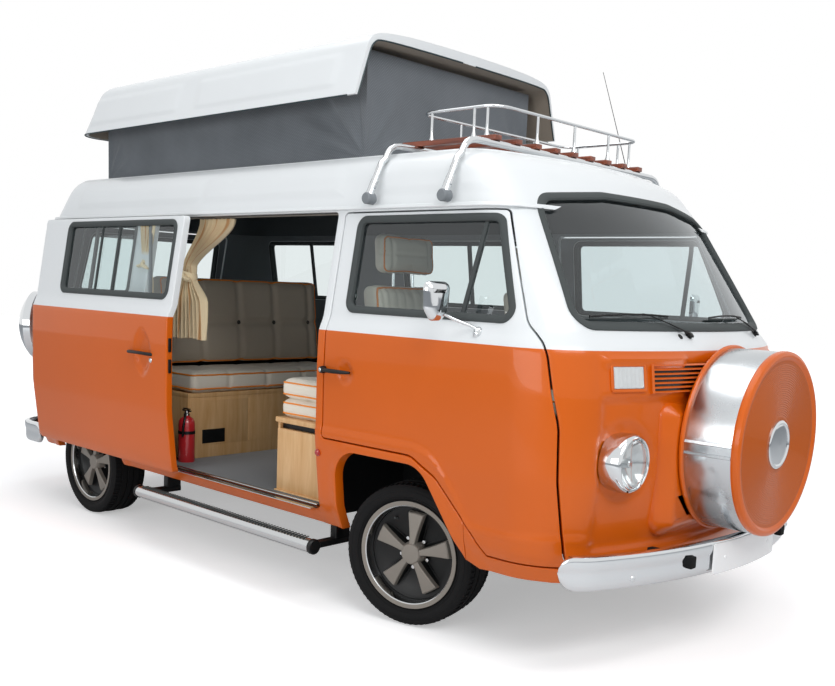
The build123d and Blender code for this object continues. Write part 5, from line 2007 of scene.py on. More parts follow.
        def spot(y: float, z: float, proud: float) -> Vector:
            """Point in front of the nose or glass."""
            return NOSE.place(NOSE.flatten((y, z)), -proud)
        for pivot, elbow, ends in ((-190, (-400, 1278), ((-640, 1262), (-262, 1270))),
                                   (485, (250, 1278), ((22, 1268), (388, 1270)))):
            def boss(out: float, across: float, up: float, pivot: float = pivot) -> Vector:
                """Point about the wiper's pivot."""
                return spot(pivot + across, 1207 + up, out)
            draft.turned([(-2, 15), (4, 15), (6, 11), (17, 10), (21, 7), (22, 0.1)], boss, 0, 20, ends=False)
            arm = [spot(pivot, 1207, 14), spot(pivot - 30, 1219, 19), spot((pivot + elbow[0]) / 2, 1246, 21),
                   spot(elbow[0] + 20, elbow[1] - 4, 20), spot(elbow[0], elbow[1], 13)]
            draft.tube(arm, [7 * MM, 6 * MM, 4 * MM, 3.4 * MM, 3 * MM], 0, 8, flat=0.6)
            low, high = ends
            line = [spot(low[0] + (high[0] - low[0]) * k / 10, low[1] + (high[1] - low[1]) * k / 10 +
                         8 * math.sin(math.pi * k / 10), 5 + 6 * math.sin(math.pi * k / 10))
                    for k in range(11)]
            draft.tube(line, 3.6 * MM, 0, 8)
            line = [spot(low[0] + (high[0] - low[0]) * k / 10, low[1] - 6 + (high[1] - low[1]) * k / 10, 0.5)
                    for k in range(11)]
            draft.tube(line, 3.0 * MM, 1, 6)
        draft.turned([(-2, 9), (5, 8), (8, 4), (9, 0.1)], on_chart(NOSE, -245, 1200), 0, 14, ends=False)
        draft.build("screen_wipers", "van", [Look.BLACK, Look.RUBBER], ["wipers"], "black_plastic")

    def build(self) -> None:
        """Makes everything on the nose and both bumpers."""
        self.spare()
        self.pad()
        self.lamps()
        self.grille()
        self.bumpers()
        self.plate()
        self.wipers()


@dataclass
class SideFittings:
    """Sliding door with its window and handle, side step, corner cap, louvres and marker lamps."""

    shift: tuple[float, float] = (-965.0, 92.0)

    def chart(self) -> SideChart:
        """Chart of the opened sliding door."""
        return SideChart(SKIN, Side.RIGHT, self.shift)

    def door(self) -> None:
        """Pressed door shell with a lens-shaped recess behind the handle."""
        def relief(q: Point2) -> float:
            """Recess behind the handle."""
            across, up = abs(q[0] + 640), abs(q[1] - 968)
            lens = math.hypot(across + 54, up) / 124
            return -15 * (1 - ramp(lens, 0.86, 1.02))
        draft = Draft()
        shape = inset(dense(rounded(SLIDE_EDGE, 24), 18), 4)
        Panel(self.chart(), shape, [dense(rounded(MIDDLE_WINDOW, WINDOW_RADIUS), 18)], edge=3.5,
              relief=relief, grid=15).into(draft, 0, 1)
        draft.build("sliding_door_shell", "van", [Look.PAINT, Look.TRIM], ["sliding_door"], "body_paint",
                    sharp=40)

    def door_window(self) -> None:
        """Rubber, pane and the divider of the sliding light."""
        opening = Opening(self.chart(), MIDDLE_WINDOW)
        rubber, pane = Draft(), Draft()
        opening.rubber(rubber)
        opening.pane(pane)
        opening.bar(rubber, (-1010, 1250), (-1010, 1586), 15)
        opening.bar(rubber, (-1180, 1250), (-1180, 1586), 9, deep=18)
        pane.build("sliding_door_glass", "van", [Look.GLASS], slot="clear_glass")
        rubber.build("sliding_door_rubber", "van", [Look.RUBBER], ["sliding_door_window"], "seal_rubber")

    def door_handle(self) -> None:
        """Black pull handle, lock and edge latch."""
        chart = self.chart()
        draft = Draft()
        path = [(-742, 965, 2), (-738, 966, -12), (-700, 967, -17), (-640, 967, -17), (-585, 966, -15),
                (-566, 964, -4), (-560, 963, 6)]
        draft.tube([chart.place((a, z), d) for a, z, d in path], [12 * MM] * 7, 0, 12, flat=0.7)
        draft.turned([(-12, 12), (3, 12), (5, 9), (5, 4), (3, 0.1)], on_chart(chart, -562, 936), 1, 20,
                     ends=False)
        for z in (905, 1005):
            low = chart.place((-429, z), 9)
            draft.box(low + Vector((-0.001, 0.001, -0.02)), low + Vector((0.007, 0.016, 0.045)), 0.002, 0)
        draft.build("sliding_door_handle", "van", [Look.BLACK, Look.CHROME], slot="black_plastic")

    def step(self) -> None:
        """Bright side step on two brackets, with black ends."""
        draft = Draft()
        path = [row(x, -915, 262) for x in (-1694, -1500, -1200, -900, -600, -346)]
        draft.tube(path, 31 * MM, 0, 28, flat=0.92)
        for x, way in ((-1694, -1), (-346, 1)):
            draft.tube([row(x - way * 14, -915, 262), row(x, -915, 262), row(x + way * 4, -915, 262)],
                       [32.5 * MM, 32.5 * MM, 28 * MM], 1, 24)
        for x in (-1660, -380):
            draft.box(row(x - 20, -905, 246), row(x + 20, -702, 274), 0.005, 1)
            draft.box(row(x - 19, -784, 247), row(x + 19, -703, 329), 0.005, 1)
        draft.build("bright_step", "van", [Look.POLISHED, Look.BLACK], ["side_step"], "bright")
        grip = Draft()
        grip.box(row(-1640, -935, 290.5), row(-1634, -895, 294.5), 0.0012)
        in_row(grip, "step_treads", "van", Look.RUBBER, 62, Vector((0.0202, 0, 0)), "black_plastic")

    def cap(self) -> None:
        """Domed bright cap on the right rear corner."""
        face = Vector((-0.72, -0.69, 0)).normalized()
        side = Vector((0, 0, 1)).cross(face).normalized()
        at = row(-3084, -779, 1020)

        def place(along: float, across: float, up: float) -> Vector:
            """Point about the cap's axis."""
            return at + face * (along * MM) + side * (across * MM) + Vector((0, 0, up * MM))
        draft = Draft()
        profile = [(77 - (290 - math.sqrt(290 ** 2 - r * r)), r)
                   for r in (198, 192, 180, 160, 135, 105, 70, 35, 0.1)]
        draft.turned([(-40, 196), (-8, 198)] + profile, place, 0, 96, ends=False)
        draft.build("corner_dome", "van", [Look.CHROME], ["corner_cap"], "bright")

    def louvres(self) -> None:
        """Nine pressed air slots on each rear pillar, their openings filled with painted shade."""
        for side in Side:
            draft = Draft()
            chart = SideChart(SKIN, side)
            for k in range(9):
                z = 1286 + 34 * k
                lo, hi = -2868 + (z - 1286) * 0.10 - 150, -2868 + (z - 1286) * 0.10
                rows, slot = [], []
                for s in range(13):
                    a = lo + (hi - lo) * s / 12
                    lift = math.sin(math.pi * s / 12) ** 0.45 if 0 < s < 12 else 0.0
                    rows.append([chart.place((a, z + dz), d * lift + 0.3) for dz, d in
                                 ((22, 0), (16, -3.5), (10, -8), (7, -8.5), (6, -7), (8, 0))])
                    # The black strip under each louvre fills its opening as painted shade.
                    slot.append([chart.place((a, z + dz), d * lift + 0.1) for dz, d in
                                 ((7.5, -6.2), (-5, -0.9), (-5.5, 0.4), (7.5, 0.4))])
                draft.rings(rows, 0)
                draft.rings(slot, 1)
            draft.build(f"{side.label}_air_slots", "van", [Look.GELCOAT, Look.BLACK], slot="body_paint")

    def markers(self) -> None:
        """Small red marker behind the front arch on each side."""
        draft = Draft()
        for side in Side:
            draft.turned([(-6, 15), (4, 15), (5, 12.5), (9, 11), (12, 6), (12.5, 0.1)],
                         on_chart(SideChart(SKIN, side), -405, 642, 5), 0, 24, ends=False)
        draft.build("side_markers", "van", [Look.RED_LENS], slot="lamp_lens")

    def build(self) -> None:
        """Makes the side fittings."""
        self.door()
        self.door_window()
        self.door_handle()
        self.step()
        self.cap()
        self.louvres()
        self.markers()


@dataclass
class FixedGlass:
    """Windscreen and fixed side windows with their rubbers."""

    def screen(self) -> None:
        """Windscreen in a thick rubber."""
        opening = Opening(NOSE, SCREEN_EDGE, SCREEN_RADII, 25, 9)
        rubber, pane = Draft(), Draft()
        opening.rubber(rubber)
        opening.pane(pane)
        for side, edge in FIXED_WINDOWS:
            window = Opening(SideChart(SKIN, side), edge)
            window.rubber(rubber)
            if edge is MIDDLE_WINDOW:
                window.bar(rubber, (-1010, 1250), (-1010, 1586), 22)
            else:
                window.bar(rubber, (-2370, 1250), (-2370, 1586), 18)
        pane.build("windscreen_glass", "van", [Look.SCREEN], ["windscreen"], "clear_glass")
        rubber.build("window_rubbers", "van", [Look.RUBBER], ["window_seals"], "seal_rubber")

    def sides(self) -> None:
        """Panes of the side windows."""
        pane = Draft()
        for side, edge in FIXED_WINDOWS:
            Opening(SideChart(SKIN, side), edge).pane(pane)
        pane.build("side_panes", "van", [Look.GLASS], ["side_windows"], "clear_glass")

    def build(self) -> None:
        """Makes the fixed glass."""
        self.screen()
        self.sides()


@dataclass
class Rear:
    """Tailgate with its window and handle, and the engine lid."""

    gap: float = 6.0

    def tailgate(self) -> None:
        """Pressed tailgate, its window and handle."""
        chart = TAIL
        draft, rubber, pane, trim = Draft(), Draft(), Draft(), Draft()
        shape = [chart.flatten(p) for p in inset(dense(rounded(TAILGATE, 36), 20), self.gap)]
        hole = [chart.flatten(p) for p in dense(rounded(TAIL_WINDOW, WINDOW_RADIUS), 18)]

        def relief(q: Point2) -> float:
            """Shallow field for the plate under the window."""
            return -7 * (1 - ramp(abs(q[0]), 300, 322)) * ramp(q[1], 958, 974) * (1 - ramp(q[1], 1122, 1140))
        FlatPanel(chart, shape, [hole], edge=3.5, relief=relief, grid=18).into(draft, 0, 1)
        draft.build("tailgate_shell", "tail_door", [Look.PAINT, Look.TRIM], ["tailgate"], "body_paint",
                    sharp=40)
        opening = Opening(chart, TAIL_WINDOW)
        opening.rubber(rubber)
        opening.pane(pane)
        pane.build("tail_glass", "tail_door", [Look.GLASS], ["tailgate_window"], "clear_glass")
        rubber.build("tail_rubber", "tail_door", [Look.RUBBER], slot="seal_rubber")
        trim.turned([(-4, 20), (4, 20), (7, 16), (16, 14), (18, 10), (18, 0.1)], on_chart(chart, 0, 948), 0,
                    28, ends=False)
        trim.tube([chart.place((y, 1150), -9 - 6 * math.cos(y / 120)) for y in range(-90, 91, 30)], 6 * MM, 0,
                  10)
        trim.build("tailgate_handle", "tail_door", [Look.CHROME], slot="bright")

    def engine_lid(self) -> None:
        """Pressed engine lid with a raised field and a latch."""
        chart = TAIL
        draft, trim = Draft(), Draft()
        shape = [chart.flatten(p) for p in inset(dense(rounded(ENGINE_LID, 36), 20), self.gap)]

        def relief(q: Point2) -> float:
            """Raised middle field."""
            return 6 * (1 - ramp(abs(q[0]), 360, 392)) * ramp(q[1], 545, 575) * (1 - ramp(q[1], 815, 845))
        FlatPanel(chart, shape, edge=3.5, relief=relief, grid=16).into(draft, 0, 1)
        draft.build("engine_lid_shell", "engine_door", [Look.PAINT, Look.UNDERSEAL], ["engine_lid"],
                    "body_paint", sharp=40)
        trim.turned([(-4, 15), (4, 15), (7, 12), (9, 5), (9, 0.1)], on_chart(chart, 0, 528), 0, 24,
                    ends=False)
        trim.build("engine_lid_latch", "engine_door", [Look.CHROME], slot="bright")

    def build(self) -> None:
        """Makes the rear."""
        self.tailgate()
        self.engine_lid()


# Cloth, cushions and fittings inside


@dataclass
class Bellows:
    """Tent cloth between the fixed roof and the lid, with pulled folds at its corners."""

    rear: float = -2620.0
    front: float = -500.0
    half: float = 560.0
    low: float = 1868.0
    high: float = 2318.0

    def spot(self, run: float, share: float) -> Vector:
        """Point of the cloth by its length round the plan and its share of the height."""
        long, wide = self.front - self.rear, 2 * self.half
        height = self.low + (self.high - self.low) * share
        total = 2 * (long + wide)
        run %= total
        if run < long:
            at, out, near, far = (self.front - run, -self.half), (0, -1), run, long - run
            length, which = long, "side"
        elif run < long + wide:
            run -= long
            at, out, near, far = (self.rear, -self.half + run), (-1, 0), run, wide - run
            length, which = wide, "end"
        elif run < 2 * long + wide:
            run -= long + wide
            at, out, near, far = (self.rear + run, self.half), (0, 1), long - run, run
            length, which = long, "side"
        else:
            run -= 2 * long + wide
            at, out, near, far = (self.front, self.half - run), (1, 0), run, wide - run
            length, which = wide, "end"
        sag = self.sag(near, far, length, share, which)
        return row(at[0] - out[0] * sag, at[1] - out[1] * sag, height)

    def sag(self, near: float, far: float, length: float, share: float, which: str) -> float:
        """Inward pull of the cloth: a shallow belly, and folds that fan from the lower corners."""
        edge = ramp(min(near, far), 0, 26)
        belly = 7 * math.sin(math.pi * share) * edge
        folds = 0.0
        rise = share * (self.high - self.low)
        for distance, reach, strong in ((near, 620, 17.0 if which == "side" else 7.0),
                                        (far, 260 if which == "side" else 420,
                                         9.0 if which == "side" else 6.0)):
            away = math.hypot(distance, rise)
            if away < 1:
                continue
            angle = math.atan2(rise, distance)
            fade = ramp(away, 10, 120) * (1 - ramp(away, reach * 0.55, reach))
            wave = math.sin(angle * 11 + 0.6) + 0.5 * math.sin(angle * 23 + 1.9)
            folds += strong * fade * wave * ramp(angle, 0.06, 0.3) * (1 - ramp(angle, 1.35, 1.54)) * 0.5
        folds += 2.2 * noise.noise(Vector((near * 0.004, share * 3.0, 1.7))) * edge
        folds += 1.2 * noise.noise(Vector((near * 0.013, share * 7.0, 4.1))) * edge
        ends = ramp(share, 0.0, 0.06) * (1 - ramp(share, 0.95, 1.0))
        return max(belly + folds * edge * ends, -3.0)

    def build(self) -> None:
        """Makes the cloth wall and the binding at its foot."""
        total = 2 * ((self.front - self.rear) + 2 * self.half)
        count, rows = 620, 44
        rings = [[self.spot(total * k / count, r / rows) for k in range(count)] for r in range(rows + 1)]
        draft = Draft()
        draft.rings(rings, caps=False)
        piece = draft.build("tent_walls", "van", [Look.TENT], ["roof_bellows"], "tent_cloth", sharp=75)
        solid = piece.modifiers.new("thickness", "SOLIDIFY")
        solid.thickness, solid.offset = 0.0022, -1.0
        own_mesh(piece)
        hem = Draft()
        hem.tube([self.spot(total * k / 240, 0.0) + Vector((0, 0, 0.0035)) for k in range(240)], 4.6 * MM, 0,
                 8, looped=True)
        hem.build("tent_foot_binding", "van", [Look.RUBBER], slot="tent_cloth")


@dataclass
class Cushion:
    """A stuffed pad: a slightly small rounded block that a cloth simulation swells.

    Sizes are in millimetres from the front axle. `crease` gives how deep a sewn line pulls in at a
    point, and `shape` moves points of the block before it swells, such as a lean.
    """

    name: str
    low: tuple[float, float, float]
    high: tuple[float, float, float]
    round_mm: float = 26.0
    cap_mm: float = 9.0
    body: str = "van"
    look: Look = Look.HIDE
    node: tuple[str, ...] = ()
    fill: float = 0.7
    voxel_mm: float = 9.0
    crease: Callable[[Vector], float] | None = None
    shape: Callable[[Vector], Vector] | None = None
    slot: str = "upholstery"

    def build(self) -> bpy.types.Object:
        """Makes, swells and creases the pad."""
        start = self.cap_mm * 0.6
        draft = Draft()
        low = row(*[v + start for v in self.low])
        high = row(*[v - start for v in self.high])
        draft.box(low, high, self.round_mm * MM, 0, 4, taper=self.shape)
        piece = new_piece(self.name, draft.points, draft.faces)
        remesh = piece.modifiers.new("remesh", "REMESH")
        remesh.mode, remesh.voxel_size = "VOXEL", self.voxel_mm * MM
        self.bake(piece)
        self.swell(piece)
        if self.crease:
            push_out(piece.data, [-self.crease(self.flat(v.co)) * MM for v in piece.data.vertices])
        piece.data.materials.append(self.look.material)
        shade_smooth(piece.data)
        smooth_it = piece.modifiers.new("round", "SUBSURF")
        smooth_it.levels = smooth_it.render_levels = 1
        settle(piece, self.body, self.node, self.slot)
        return piece

    @staticmethod
    def flat(p: Vector) -> Vector:
        """Point in millimetres from the front axle."""
        return Vector((p.x / MM - SHIFT_X, p.y / MM, p.z / MM))

    @staticmethod
    def bake(piece: bpy.types.Object) -> None:
        """Applies the piece's modifiers to its mesh."""
        graph = bpy.context.evaluated_depsgraph_get()
        mesh = bpy.data.meshes.new_from_object(piece.evaluated_get(graph))
        piece.modifiers.clear()
        piece.data = mesh

    def swell(self, piece: bpy.types.Object) -> None:
        """Inflates the pad as cloth, and caps how far each point moves."""
        scene = bpy.context.scene
        rest = [v.co.copy() for v in piece.data.vertices]
        cloth = piece.modifiers.new("cloth", "CLOTH")
        cloth.settings.use_pressure = True
        cloth.settings.uniform_pressure_force = 4.0
        cloth.settings.effector_weights.gravity = 0.0
        cloth.settings.quality = 4
        cloth.settings.tension_stiffness = cloth.settings.compression_stiffness = 18.0
        cloth.collision_settings.use_collision = False
        cloth.point_cache.frame_start, cloth.point_cache.frame_end = 1, 20
        for step in range(1, 21):
            scene.frame_set(step)
        self.bake(piece)
        scene.frame_set(1)
        made = np.array([v.co for v in piece.data.vertices])
        move = made - np.array(rest)
        length = np.maximum(np.linalg.norm(move, axis=1), 1e-9)
        share = np.minimum(1.0, self.cap_mm * MM / length)
        piece.data.vertices.foreach_set("co", (np.array(rest) + move * share[:, None]).ravel())
        piece.data.update()


def push_out(mesh: bpy.types.Mesh, amounts: list[float]) -> None:
    """Moves each vertex along its normal by its own amount, in metres."""
    spots, ways = np.empty(len(mesh.vertices) * 3), np.empty(len(mesh.vertices) * 3)
    mesh.vertices.foreach_get("co", spots)
    mesh.vertices.foreach_get("normal", ways)
    mesh.vertices.foreach_set("co", spots + ways * np.repeat(amounts, 3))
    mesh.update()


def groove(distance: float, wide: float, deep: float) -> float:
    """Depth of a sewn line at a distance from it."""
    t = min(abs(distance) / wide, 1.0)
    return deep * (1 - t) ** 2 * (1 + 2 * t) if t < 1 else 0.0


def surface_of(piece: bpy.types.Object) -> BVHTree:
    """Search tree over a finished piece."""
    graph = bpy.context.evaluated_depsgraph_get()
    mesh = piece.evaluated_get(graph).to_mesh()
    return BVHTree.FromPolygons([v.co.copy() for v in mesh.vertices],
                                [tuple(f.vertices) for f in mesh.polygons])


def piping(draft: Draft, on: BVHTree, path: Sequence[Vector], radius: float = 4.2,
           looped: bool = True) -> None:
    """Adds a corded edge that lies on a pad's surface."""
    made = []
    for p in path:
        spot, normal, *_ = on.find_nearest(p)
        made.append(spot + normal * (radius * 0.35 * MM))
    draft.tube(made, radius * MM, 0, 8, looped=looped)


@dataclass(frozen=True)
class Drape:
    """How a tied curtain hangs, in millimetres from the front axle.

    Attributes:
        rail: X of the two ends of its top.
        y: Plane it hangs in.
        high: Height of its top.
        low: Height of its hem.
        tie: Height of the tie.
        waist_x: Middle of the gathers at the tie.
        waist_wide: Width of the gathers at the tie.
        hem: X of the two ends of its hem.
        deep: Half depth of its folds.
        turns: Number of folds.
    """

    rail: tuple[float, float]
    y: float
    high: float
    low: float
    tie: float
    waist_x: float
    waist_wide: float
    hem: tuple[float, float]
    deep: float
    turns: int = 7

    def waist(self) -> tuple[float, float]:
        """Middle of the gathers, as X and Y."""
        return self.waist_x, self.y

    def spot(self, u: float, v: float) -> Vector:
        """Point of the curtain by its share across and down."""
        z = self.high - (self.high - self.low) * v
        knot = (self.high - self.tie) / (self.high - self.low)
        waist = (self.waist_x - self.waist_wide / 2, self.waist_x + self.waist_wide / 2)
        if v < knot:
            t = smooth(v / knot)
            sag = 1 + 0.25 * math.sin(math.pi * v / knot) * u
            ends = [a + (b - a) * min(t * sag, 1.0) for a, b in zip(self.rail, waist)]
        else:
            t = ramp(v, knot, knot + 0.42 * (1 - knot)) * 0.82 + 0.18 * ramp(v, knot, 1.0)
            ends = [a + (b - a) * t for a, b in zip(waist, self.hem)]
        pinch = math.exp(-((z - self.tie) / 60) ** 2)
        turn = u * self.turns * 2 * math.pi + 0.9 * math.sin(v * 3.1)
        side = math.sin(2 * turn) * 0.012 * (ends[1] - ends[0])
        droop = (26 * u * ramp(v, knot * 0.2, knot) * (1 - ramp(v, knot, knot + 0.03))
                 + 10 * math.sin(u * 8) * ramp(v, 0.94, 1.0) - 26 * abs(u - 0.55) * ramp(v, 0.85, 1.0))
        return row(ends[0] + (ends[1] - ends[0]) * u + side,
                   self.y + self.deep * (1 - 0.35 * pinch) * math.sin(turn), z - droop * 0.6)


@dataclass
class LivingSpace:
    """Bench, stool, carpet, curtains and extinguisher."""

    buttons_y: tuple[float, ...] = (-400, -150, 100, 360)
    buttons_z: float = 1100
    seams_y: tuple[float, ...] = (-410, -160, 90, 300)
    back_lean: float = 0.12

    def bench(self) -> None:
        """Plywood bench with its vent, seat cushion and buttoned back."""
        draft = Draft()
        draft.box(row(-2030, -660, 400), row(-1652, 450, 722), 0.002, 0)
        draft.box(row(-2030, -660, 722), row(-1650, 450, 745), 0.003, 0)
        for y0, y1 in ((-640, -280), (-272, 88), (96, 440)):
            draft.box(row(-1653, y0, 470), row(-1650.2, y1, 706), 0.001, 0)
        draft.box(row(-1653, -572, 478), row(-1649.4, -428, 552), 0.002, 1)
        for k in range(7):
            draft.box(row(-1650, -566, 484 + k * 9.6), row(-1648.6, -434, 488 + k * 9.6), 0.0006, 1)
        draft.build("bench_box", "van", [Look.PLY, Look.BLACK], ["bench_base"], "plywood")

        def seat_crease(p: Vector) -> float:
            """Cross seams of the seat."""
            return sum(groove(p.y - y, 26, 7) for y in self.seams_y) if p.z > 765 else 0.0
        seat = Cushion("bench_seat", (-1998, -658, 746), (-1622, 448, 860), 30, 9, crease=seat_crease,
                       node=("living_cushions",), voxel_mm=10).build()

        def lean(p: Vector) -> Vector:
            """Leans the back rearwards."""
            return p + Vector((-(p.z - 0.880) * self.back_lean, 0, 0))

        def back_crease(p: Vector) -> float:
            """Seams that cross at the buttons."""
            up = groove(p.z - self.buttons_z, 34, 8)
            deep = max([groove(p.y - y, 34, 9) for y in self.buttons_y] + [up])
            pull = sum(groove(math.hypot(p.y - y, p.z - self.buttons_z), 60, 10) for y in self.buttons_y)
            return (deep + pull) if p.x > -1990 else 0.0
        back = Cushion("bench_back", (-2000, -658, 864), (-1882, 448, 1352), 30, 10, crease=back_crease,
                       shape=lean, voxel_mm=10, look=Look.TAN).build()
        on_seat, on_back = surface_of(seat), surface_of(back)
        cord = Draft()
        for x0, x1, z in ((-1990, -1626, 762), (-1990, -1626, 846)):
            path = dense(rounded([(x0, -652), (x1, -652), (x1, 442), (x0, 442)], 26), 14)
            piping(cord, on_seat, [row(x, y, z) for x, y in path])
        path = dense(rounded([(-652, 870), (442, 870), (442, 1346), (-652, 1346)], 30), 14)
        piping(cord, on_back, [row(-1884 - (z - 880) * self.back_lean, y, z) for y, z in path])
        for y in self.buttons_y:
            spot, normal, *_ = on_back.find_nearest(row(-1908, y, self.buttons_z))

            def stud(out: float, across: float, up: float, spot: Vector = spot) -> Vector:
                """Point about a button."""
                return spot + Vector((out, across, up)) * MM
            cord.turned([(-1, 12), (2.5, 12), (5, 9), (6, 5), (6.3, 0.1)], stud, 1, 18, ends=False)
        cord.build("bench_piping", "van", [Look.PIPING, Look.BUTTON], slot="upholstery")

    def stool(self) -> None:
        """Plywood box with a drawer gap, a black block in it as painted shade, and two loose cushions."""
        draft = Draft()
        x0, x1, y0, y1 = -800, -440, -770, -420
        draft.box(row(x0 + 8, y0 + 8, 412), row(x1 - 4, y1 - 4, 690), 0.0025, 0)
        draft.box(row(x0, y0, 400), row(x1, y1, 412), 0.003, 0)
        # Black block set back in the drawer gap: painted shade in the gap.
        draft.box(row(x0 + 22, y0 + 26, 690), row(x1 - 20, y1 - 20, 717), 0.002, 1)
        draft.box(row(x0, y0, 717), row(x1, y1, 740), 0.004, 0)
        draft.box(row(x0 + 10, y0 + 9, 688), row(x0 + 24, y1 - 8, 717), 0.002, 0)
        draft.build("stool_box", "van", [Look.PLY, Look.BLACK], ["stool"], "plywood")
        cord = Draft()
        for number, (low, high) in enumerate(((741, 824), (826, 914))):
            pad = Cushion(f"stool_pad_{number + 1}", (-795, -765, low), (-445, -425, high), 26, 8,
                          voxel_mm=8).build()
            on = surface_of(pad)
            for z in (low + 12, high - 12):
                path = dense(rounded([(-793, -763), (-447, -763), (-447, -427), (-793, -427)], 26), 12)
                piping(cord, on, [row(x, y, z) for x, y in path], 3.4)
        cord.build("stool_piping", "van", [Look.PIPING], slot="upholstery")

    def carpet(self) -> None:
        """Carpet, the bright threshold strip and the door's lower track."""
        draft = Draft()
        low, high = row(-1645, -798, 400.2), row(-412, 800, 406)
        draft.box(low, high, 0.003, 0)
        draft.box(row(-1780, -862, 397), row(-440, -836, 401), 0.0015, 1)
        draft.box(row(-1780, -834, 396), row(-440, -818, 399), 0.001, 2)
        draft.box(row(-1640, -812, 400.5), row(-460, -799, 408), 0.003, 1)
        draft.build("cabin_carpet", "van", [Look.CARPET, Look.POLISHED, Look.BLACK], slot="black_plastic")
        lining = Draft()
        lining.box(row(-1790, -806, 1200), row(-1778, -790, 1600), 0.003, 0)
        lining.build("door_post_trim", "van", [Look.GREY], slot="grey_plastic")

    def curtain(self, name: str, drape: Drape, replaces: list[str]) -> None:
        """One gathered striped curtain, drawn in by a knotted tie.

        Args:
            name: Name of the cloth piece.
            drape: Where it hangs and how it falls.
            replaces: Nodes that it stands for.
        """
        count, rows = 168, 110
        draft = Draft()
        draft.rings([[drape.spot(k / count, r / rows) for k in range(count + 1)] for r in range(rows + 1)],
                    closed=False, caps=False)
        piece = new_piece(name, draft.points, draft.faces)
        mesh = piece.data
        layer = mesh.uv_layers.new(name="cloth")
        corner = np.array([loop.vertex_index for loop in mesh.loops])
        layer.data.foreach_set("uv", np.stack([(corner % (count + 1)) / count,
                                               1 - (corner // (count + 1)) / rows], axis=1).ravel())
        mesh.materials.append(Look.CURTAIN.material)
        shade_smooth(mesh)
        solid = piece.modifiers.new("thickness", "SOLIDIFY")
        solid.thickness, solid.offset = 0.0012, 0.0
        settle(piece, "van", replaces, "curtain_cloth")
        length = sum((drape.spot(k / count, 0.15) - drape.spot((k + 1) / count, 0.15)).length
                     for k in range(count))
        tied = self.tie(f"{name}_tie", drape)

    @staticmethod
    def tie(name: str, drape: Drape) -> bpy.types.Object:
        """The tie: a band round the gathers, and a small knot with two ends."""
        at, wide, deep = drape.waist(), drape.waist_wide, drape.deep
        rings = []
        for h, grow in ((-24, 0.92), (-15, 1.06), (0, 1.1), (14, 1.05), (23, 0.9)):
            rings.append([row(at[0] + wide * 0.56 * grow * math.cos(t),
                              at[1] + (deep + 6) * grow * math.sin(t), drape.tie + h - 9 * math.cos(t))
                          for t in (2 * math.pi * k / 40 for k in range(40))])
        draft = Draft()
        draft.rings(rings, caps=False)
        front = at[1] - deep - 12
        for way, drop in ((-1, -10), (1, -18)):
            bow = [row(at[0] + 8 + way * s, front - 3 * math.sin(s / 14), drape.tie + drop * s / 40) for s in
                   (0, 14, 30, 46)]
            draft.tube(bow, [8 * MM, 15 * MM, 18 * MM, 9 * MM], 0, 12, flat=0.45)
        draft.tube([row(at[0] + 8, front - 7, drape.tie + h) for h in (-13, -5, 5, 13)],
                   [8 * MM, 12 * MM, 12 * MM, 8 * MM], 0, 12, flat=0.6)
        return draft.build(name, "van", [Look.CURTAIN], slot="curtain_cloth")

    def curtains(self) -> None:
        """The curtain beside the rear quarter window, and the one tied back in the doorway."""
        self.curtain("quarter_curtain", Drape(rail=(-1895, -1765), y=-785, high=1600, low=1182, tie=1392,
                                              waist_x=-1846, waist_wide=58, hem=(-1885, -1785), deep=11),
                     ["curtains"])
        self.curtain("doorway_curtain", Drape(rail=(-1490, -1215), y=-700, high=1618, low=1032, tie=1345,
                                              waist_x=-1590, waist_wide=92, hem=(-1716, -1440), deep=24,
                                              turns=8), [])
        rail = Draft()
        rail.tube([row(x, -700, 1626) for x in (-1785, -1500, -1000, -445)], 5 * MM, 0, 10)
        for x in (-1780, -1115, -450):
            rail.box(row(x - 7, -708, 1622), row(x + 7, -692, 1662), 0.002, 0)
        rail.build("curtain_rail", "van", [Look.SATIN], slot="bright")

    def extinguisher(self) -> None:
        """Red bottle with its strap, valve, lever and hose."""
        def place(along: float, across: float, up: float) -> Vector:
            """Point about the bottle's axis, which is upright."""
            return row(-1600 + across, -700 + up, 400 + along)
        draft = Draft()
        draft.turned([(1, 0.1), (1, 34), (5, 40.5), (12, 41.5), (196, 41.5), (214, 39), (228, 31), (236, 20),
                      (240, 15), (246, 14)], place, 0, 64, ends=False)
        draft.turned([(150, 40), (150, 43), (166, 43), (166, 40)], place, 1, 64, closed=True)
        draft.turned([(244, 0.1), (244, 16), (252, 16), (254, 12), (268, 12), (270, 8), (270, 0.1)], place, 2,
                     32, ends=False)
        draft.box(row(-1634, -706, 664), row(-1566, -694, 671), 0.002, 1)
        draft.box(row(-1630, -705, 674), row(-1572, -695, 680), 0.002, 1)
        draft.tube([row(-1590, -712, 655), row(-1580, -722, 640), row(-1573, -736, 600),
                    row(-1574, -740, 540)], 6 * MM, 1, 10)
        draft.build("extinguisher_bottle", "van", [Look.RED, Look.BLACK, Look.POLISHED],
                    ["fire_extinguisher"], "red_paint")

    def build(self) -> None:
        """Makes the living space."""
        self.bench()
        self.stool()
        self.carpet()
        self.curtains()
        self.extinguisher()


